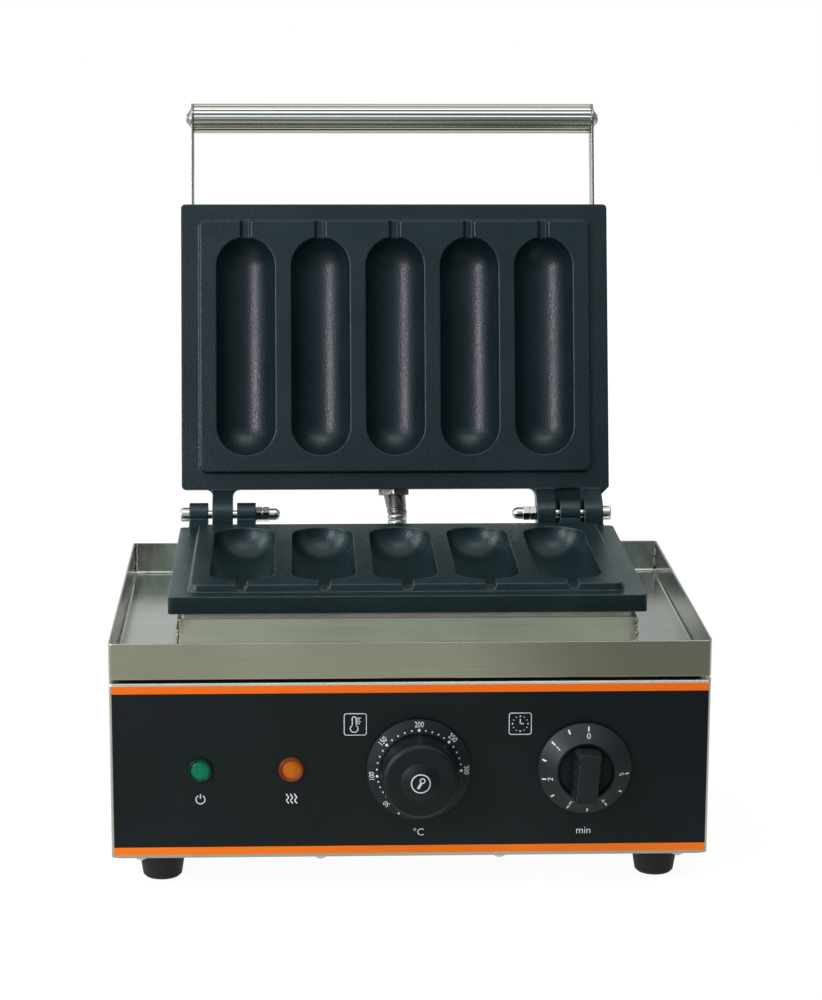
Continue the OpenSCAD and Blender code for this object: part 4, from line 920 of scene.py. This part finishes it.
# %% [markdown]
# ## Studio
# The portrait was taken against white, with the room in front of the machine left darker; that
# is why its front looks deeper than the tray behind. The world follows the direction of a ray:
# white behind and above, dim in front, dimmest to the right. The camera itself sees only white.

# %% World


def chain(tree, kind, *values, **settings):
    """Adds a node and feeds its inputs in order, from sockets or numbers; returns its first output."""
    node = tree.nodes.new(kind)
    for key, value in settings.items():
        setattr(node, key, value)
    for socket, value in zip(node.inputs, values):
        if hasattr(value, "is_linked"):
            tree.links.new(value, socket)
        elif value is not None:
            socket.default_value = value
    return node.outputs[0]


def ramp(tree, value, start, end, low, high):
    """A smooth step of a value from start to end, mapped to low and high."""
    return chain(tree, "ShaderNodeMapRange", value, start, end, low, high, interpolation_type="SMOOTHSTEP")


def blend_levels(tree, factor, first, second):
    """first * (1 - factor) + second * factor."""
    rest = chain(tree, "ShaderNodeMath", 1.0, factor, operation="SUBTRACT")
    one = chain(tree, "ShaderNodeMath", rest, first, operation="MULTIPLY")
    two = chain(tree, "ShaderNodeMath", factor, second, operation="MULTIPLY")
    return chain(tree, "ShaderNodeMath", one, two, operation="ADD")


def ray_kinds(tree):
    """Sockets that are 1 for camera rays and for mirror or glass rays."""
    path = tree.nodes.new("ShaderNodeLightPath")
    mirror = chain(tree, "ShaderNodeMath", path.outputs["Is Glossy Ray"], path.outputs["Is Transmission Ray"],
                   operation="MAXIMUM")
    return path.outputs["Is Camera Ray"], mirror


AMBIENT = 0.5
ROOM = (1.0, 1.0, 0.80)
world = bpy.data.worlds.new("studio")
bpy.context.scene.world = world
world.use_nodes = True
tree = world.node_tree
sky = tree.nodes["Background"]
direction = tree.nodes.new("ShaderNodeSeparateXYZ")
tree.links.new(tree.nodes.new("ShaderNodeTexCoord").outputs["Generated"], direction.inputs[0])
across, forward, upward = direction.outputs
front = ramp(tree, forward, -0.75, 0.0, 1.0, 0.0)
dim = ramp(tree, across, -0.28, 0.22, 0.80, 0.10)
dim = chain(tree, "ShaderNodeMath", dim, ramp(tree, across, -0.95, -0.45, 1.75, 0.0), operation="ADD")
above = ramp(tree, upward, 0.2, 0.7, 0.0, 0.62)
room = blend_levels(tree, above, dim, 1.0)
behind = ramp(tree, across, -0.25, 0.25, 0.82, 0.45)
high = ramp(tree, upward, 0.45, 0.8, 0.0, 1.0)
level = blend_levels(tree, front, blend_levels(tree, high, behind, 1.0), room)
camera_ray, mirror_ray = ray_kinds(tree)
share_seen = blend_levels(tree, mirror_ray, AMBIENT, 1.0)
level = chain(tree, "ShaderNodeMath", level, share_seen, operation="MULTIPLY")
tree.links.new(blend_levels(tree, camera_ray, level, 1.0), sky.inputs["Strength"])
tint = tree.nodes.new("ShaderNodeMix")
tint.data_type = "RGBA"
tree.links.new(ramp(tree, forward, -0.55, 0.15, 1.0, 0.0), tint.inputs[0])
tint.inputs[6].default_value = (0.97, 1, 1, 1)
tint.inputs[7].default_value = (0.80, 0.97, 1.05, 1)
plain = tree.nodes.new("ShaderNodeMix")
plain.data_type = "RGBA"
tree.links.new(camera_ray, plain.inputs[0])
tree.links.new(tint.outputs[2], plain.inputs[6])
plain.inputs[7].default_value = (1, 1, 1, 1)
tree.links.new(plain.outputs[2], sky.inputs["Color"])
print("world made")

# %% [markdown]
# The floor is plain and pale. To the camera it almost glows, so that it meets the white world
# without a horizon and keeps only the machine's soft shadow. To a mirror finish it is white
# behind the machine and dim in front of it, like the room.

# %% Floor
floor_finish = Finish("floor", Roughness=0.9, Base_Color=(0.86, 0.86, 0.86, 1))
tree = floor_finish.tree
spot = tree.nodes.new("ShaderNodeSeparateXYZ")
tree.links.new(tree.nodes.new("ShaderNodeTexCoord").outputs["Object"], spot.inputs[0])
across, forward, upward = spot.outputs
front = ramp(tree, forward, -0.45, 0.05, 1.0, 0.0)
dim = ramp(tree, across, 0.03, 0.14, 0.50, 0.225)
seen_by_mirror = blend_levels(tree, front, 0.95, dim)
camera_ray, mirror_ray = ray_kinds(tree)
glow = tree.nodes.new("ShaderNodeEmission")
near_x = chain(tree, "ShaderNodeMath", across, across, operation="MULTIPLY")
near_y = chain(tree, "ShaderNodeMath", forward, forward, operation="MULTIPLY")
reach = chain(tree, "ShaderNodeMath", near_x, near_y, operation="ADD")
seen_by_camera = ramp(tree, reach, 0.1, 0.8, 1.06, 1.15)
tree.links.new(blend_levels(tree, camera_ray, seen_by_mirror, seen_by_camera), glow.inputs["Strength"])
glow_tint = tree.nodes.new("ShaderNodeMix")
glow_tint.data_type = "RGBA"
warm = chain(tree, "ShaderNodeMath", front, mirror_ray, operation="MULTIPLY")
tree.links.new(warm, glow_tint.inputs[0])
glow_tint.inputs[6].default_value = (1, 1, 1, 1)
glow_tint.inputs[7].default_value = (*ROOM, 1)
tree.links.new(glow_tint.outputs[2], glow.inputs["Color"])
share = chain(tree, "ShaderNodeMath", camera_ray, 0.88, operation="MULTIPLY")
share = chain(tree, "ShaderNodeMath", share, mirror_ray, operation="MAXIMUM")
both = tree.nodes.new("ShaderNodeMixShader")
tree.links.new(share, both.inputs[0])
tree.links.new(floor_finish.shader.outputs[0], both.inputs[1])
tree.links.new(glow.outputs[0], both.inputs[2])
tree.links.new(both.outputs[0], tree.nodes["Material Output"].inputs["Surface"])
floor_grid = np.array([[[-4000, -4000, 0], [4000, -4000, 0]], [[-4000, 4000, 0], [4000, 4000, 0]]], float)
floor = sewn("floor", [(floor_grid, False)], floor_finish.material, None)
floor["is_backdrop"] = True

# %% [markdown]
# A long softbox hangs above the front and draws the white stripes on the grip. A low one on
# the left draws the line down each mould, and one further round lifts the left side. Two in
# front and one behind give soft light only: the steel and the coat don't mirror them.

# %% Lamps


def softbox(name, place, aim, width, height, power, tone=(1, 1, 1), mirrored=True):
    """A rectangular lamp at a place, turned towards an aim, all in metres."""
    lamp = bpy.data.lights.new(name, "AREA")
    lamp.shape = "RECTANGLE"
    lamp.size = width
    lamp.size_y = height
    lamp.energy = power
    lamp.color = tone
    thing = bpy.data.objects.new(name, lamp)
    bpy.context.collection.objects.link(thing)
    away = np.asarray(aim, float) - np.asarray(place, float)
    turn = math.atan2(away[1], away[0]) - math.pi / 2
    thing.visible_glossy = mirrored
    thing.location = place
    thing.rotation_euler = [math.atan2(math.hypot(away[0], away[1]), -away[2]), 0, turn]
    print(name, power, "W")


softbox("overhead", (0.0, -0.7, 1.75), (0, 0.05, 0.25), 1.6, 0.4, 6)
softbox("front left", (-0.85, -0.75, 1.45), (0, 0.0, 0.15), 0.9, 0.9, 3, mirrored=False)
softbox("front right", (0.85, -0.75, 1.45), (0, 0.0, 0.15), 0.9, 0.9, 1.5, mirrored=False)
softbox("low left", (-1.0, -1.15, 0.66), (0.0, 0.0, 0.2), 0.27, 0.6, 8.5, (1.0, 0.91, 1.0))
softbox("left", (-1.5, -0.1, 0.75), (0, 0, 0.15), 0.8, 1.1, 12)
softbox("back", (0.1, 1.2, 1.5), (0, 0, 0.15), 1.4, 0.7, 10, mirrored=False)

# %% [markdown]
# The camera's place, turn and lens were solved from straight edges of the machine whose sizes
# are known, such as the rims of the tray and the corners of the lid.

# %% Camera
lens = bpy.data.cameras.new("portrait")
lens.lens = 101.22
lens.sensor_width = 36
lens.clip_end = 20
camera = bpy.data.objects.new("portrait", lens)
bpy.context.collection.objects.link(camera)
camera.location = to_frame((-57.45, -1400.21, 503.01))
camera.rotation_euler = [math.radians(a) for a in (78.0345, -0.2228, -2.2803)]
bpy.context.scene.camera = camera
bpy.context.scene.view_settings.view_transform = "Standard"
print("camera at", [round(c, 3) for c in camera.location])

# %% [markdown]
# Last, the box of the dressed model is printed.

# %% Print the box of the dressed model
low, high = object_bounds()
print("visual box", [round(h - l, 4) for l, h in zip(low, high)])
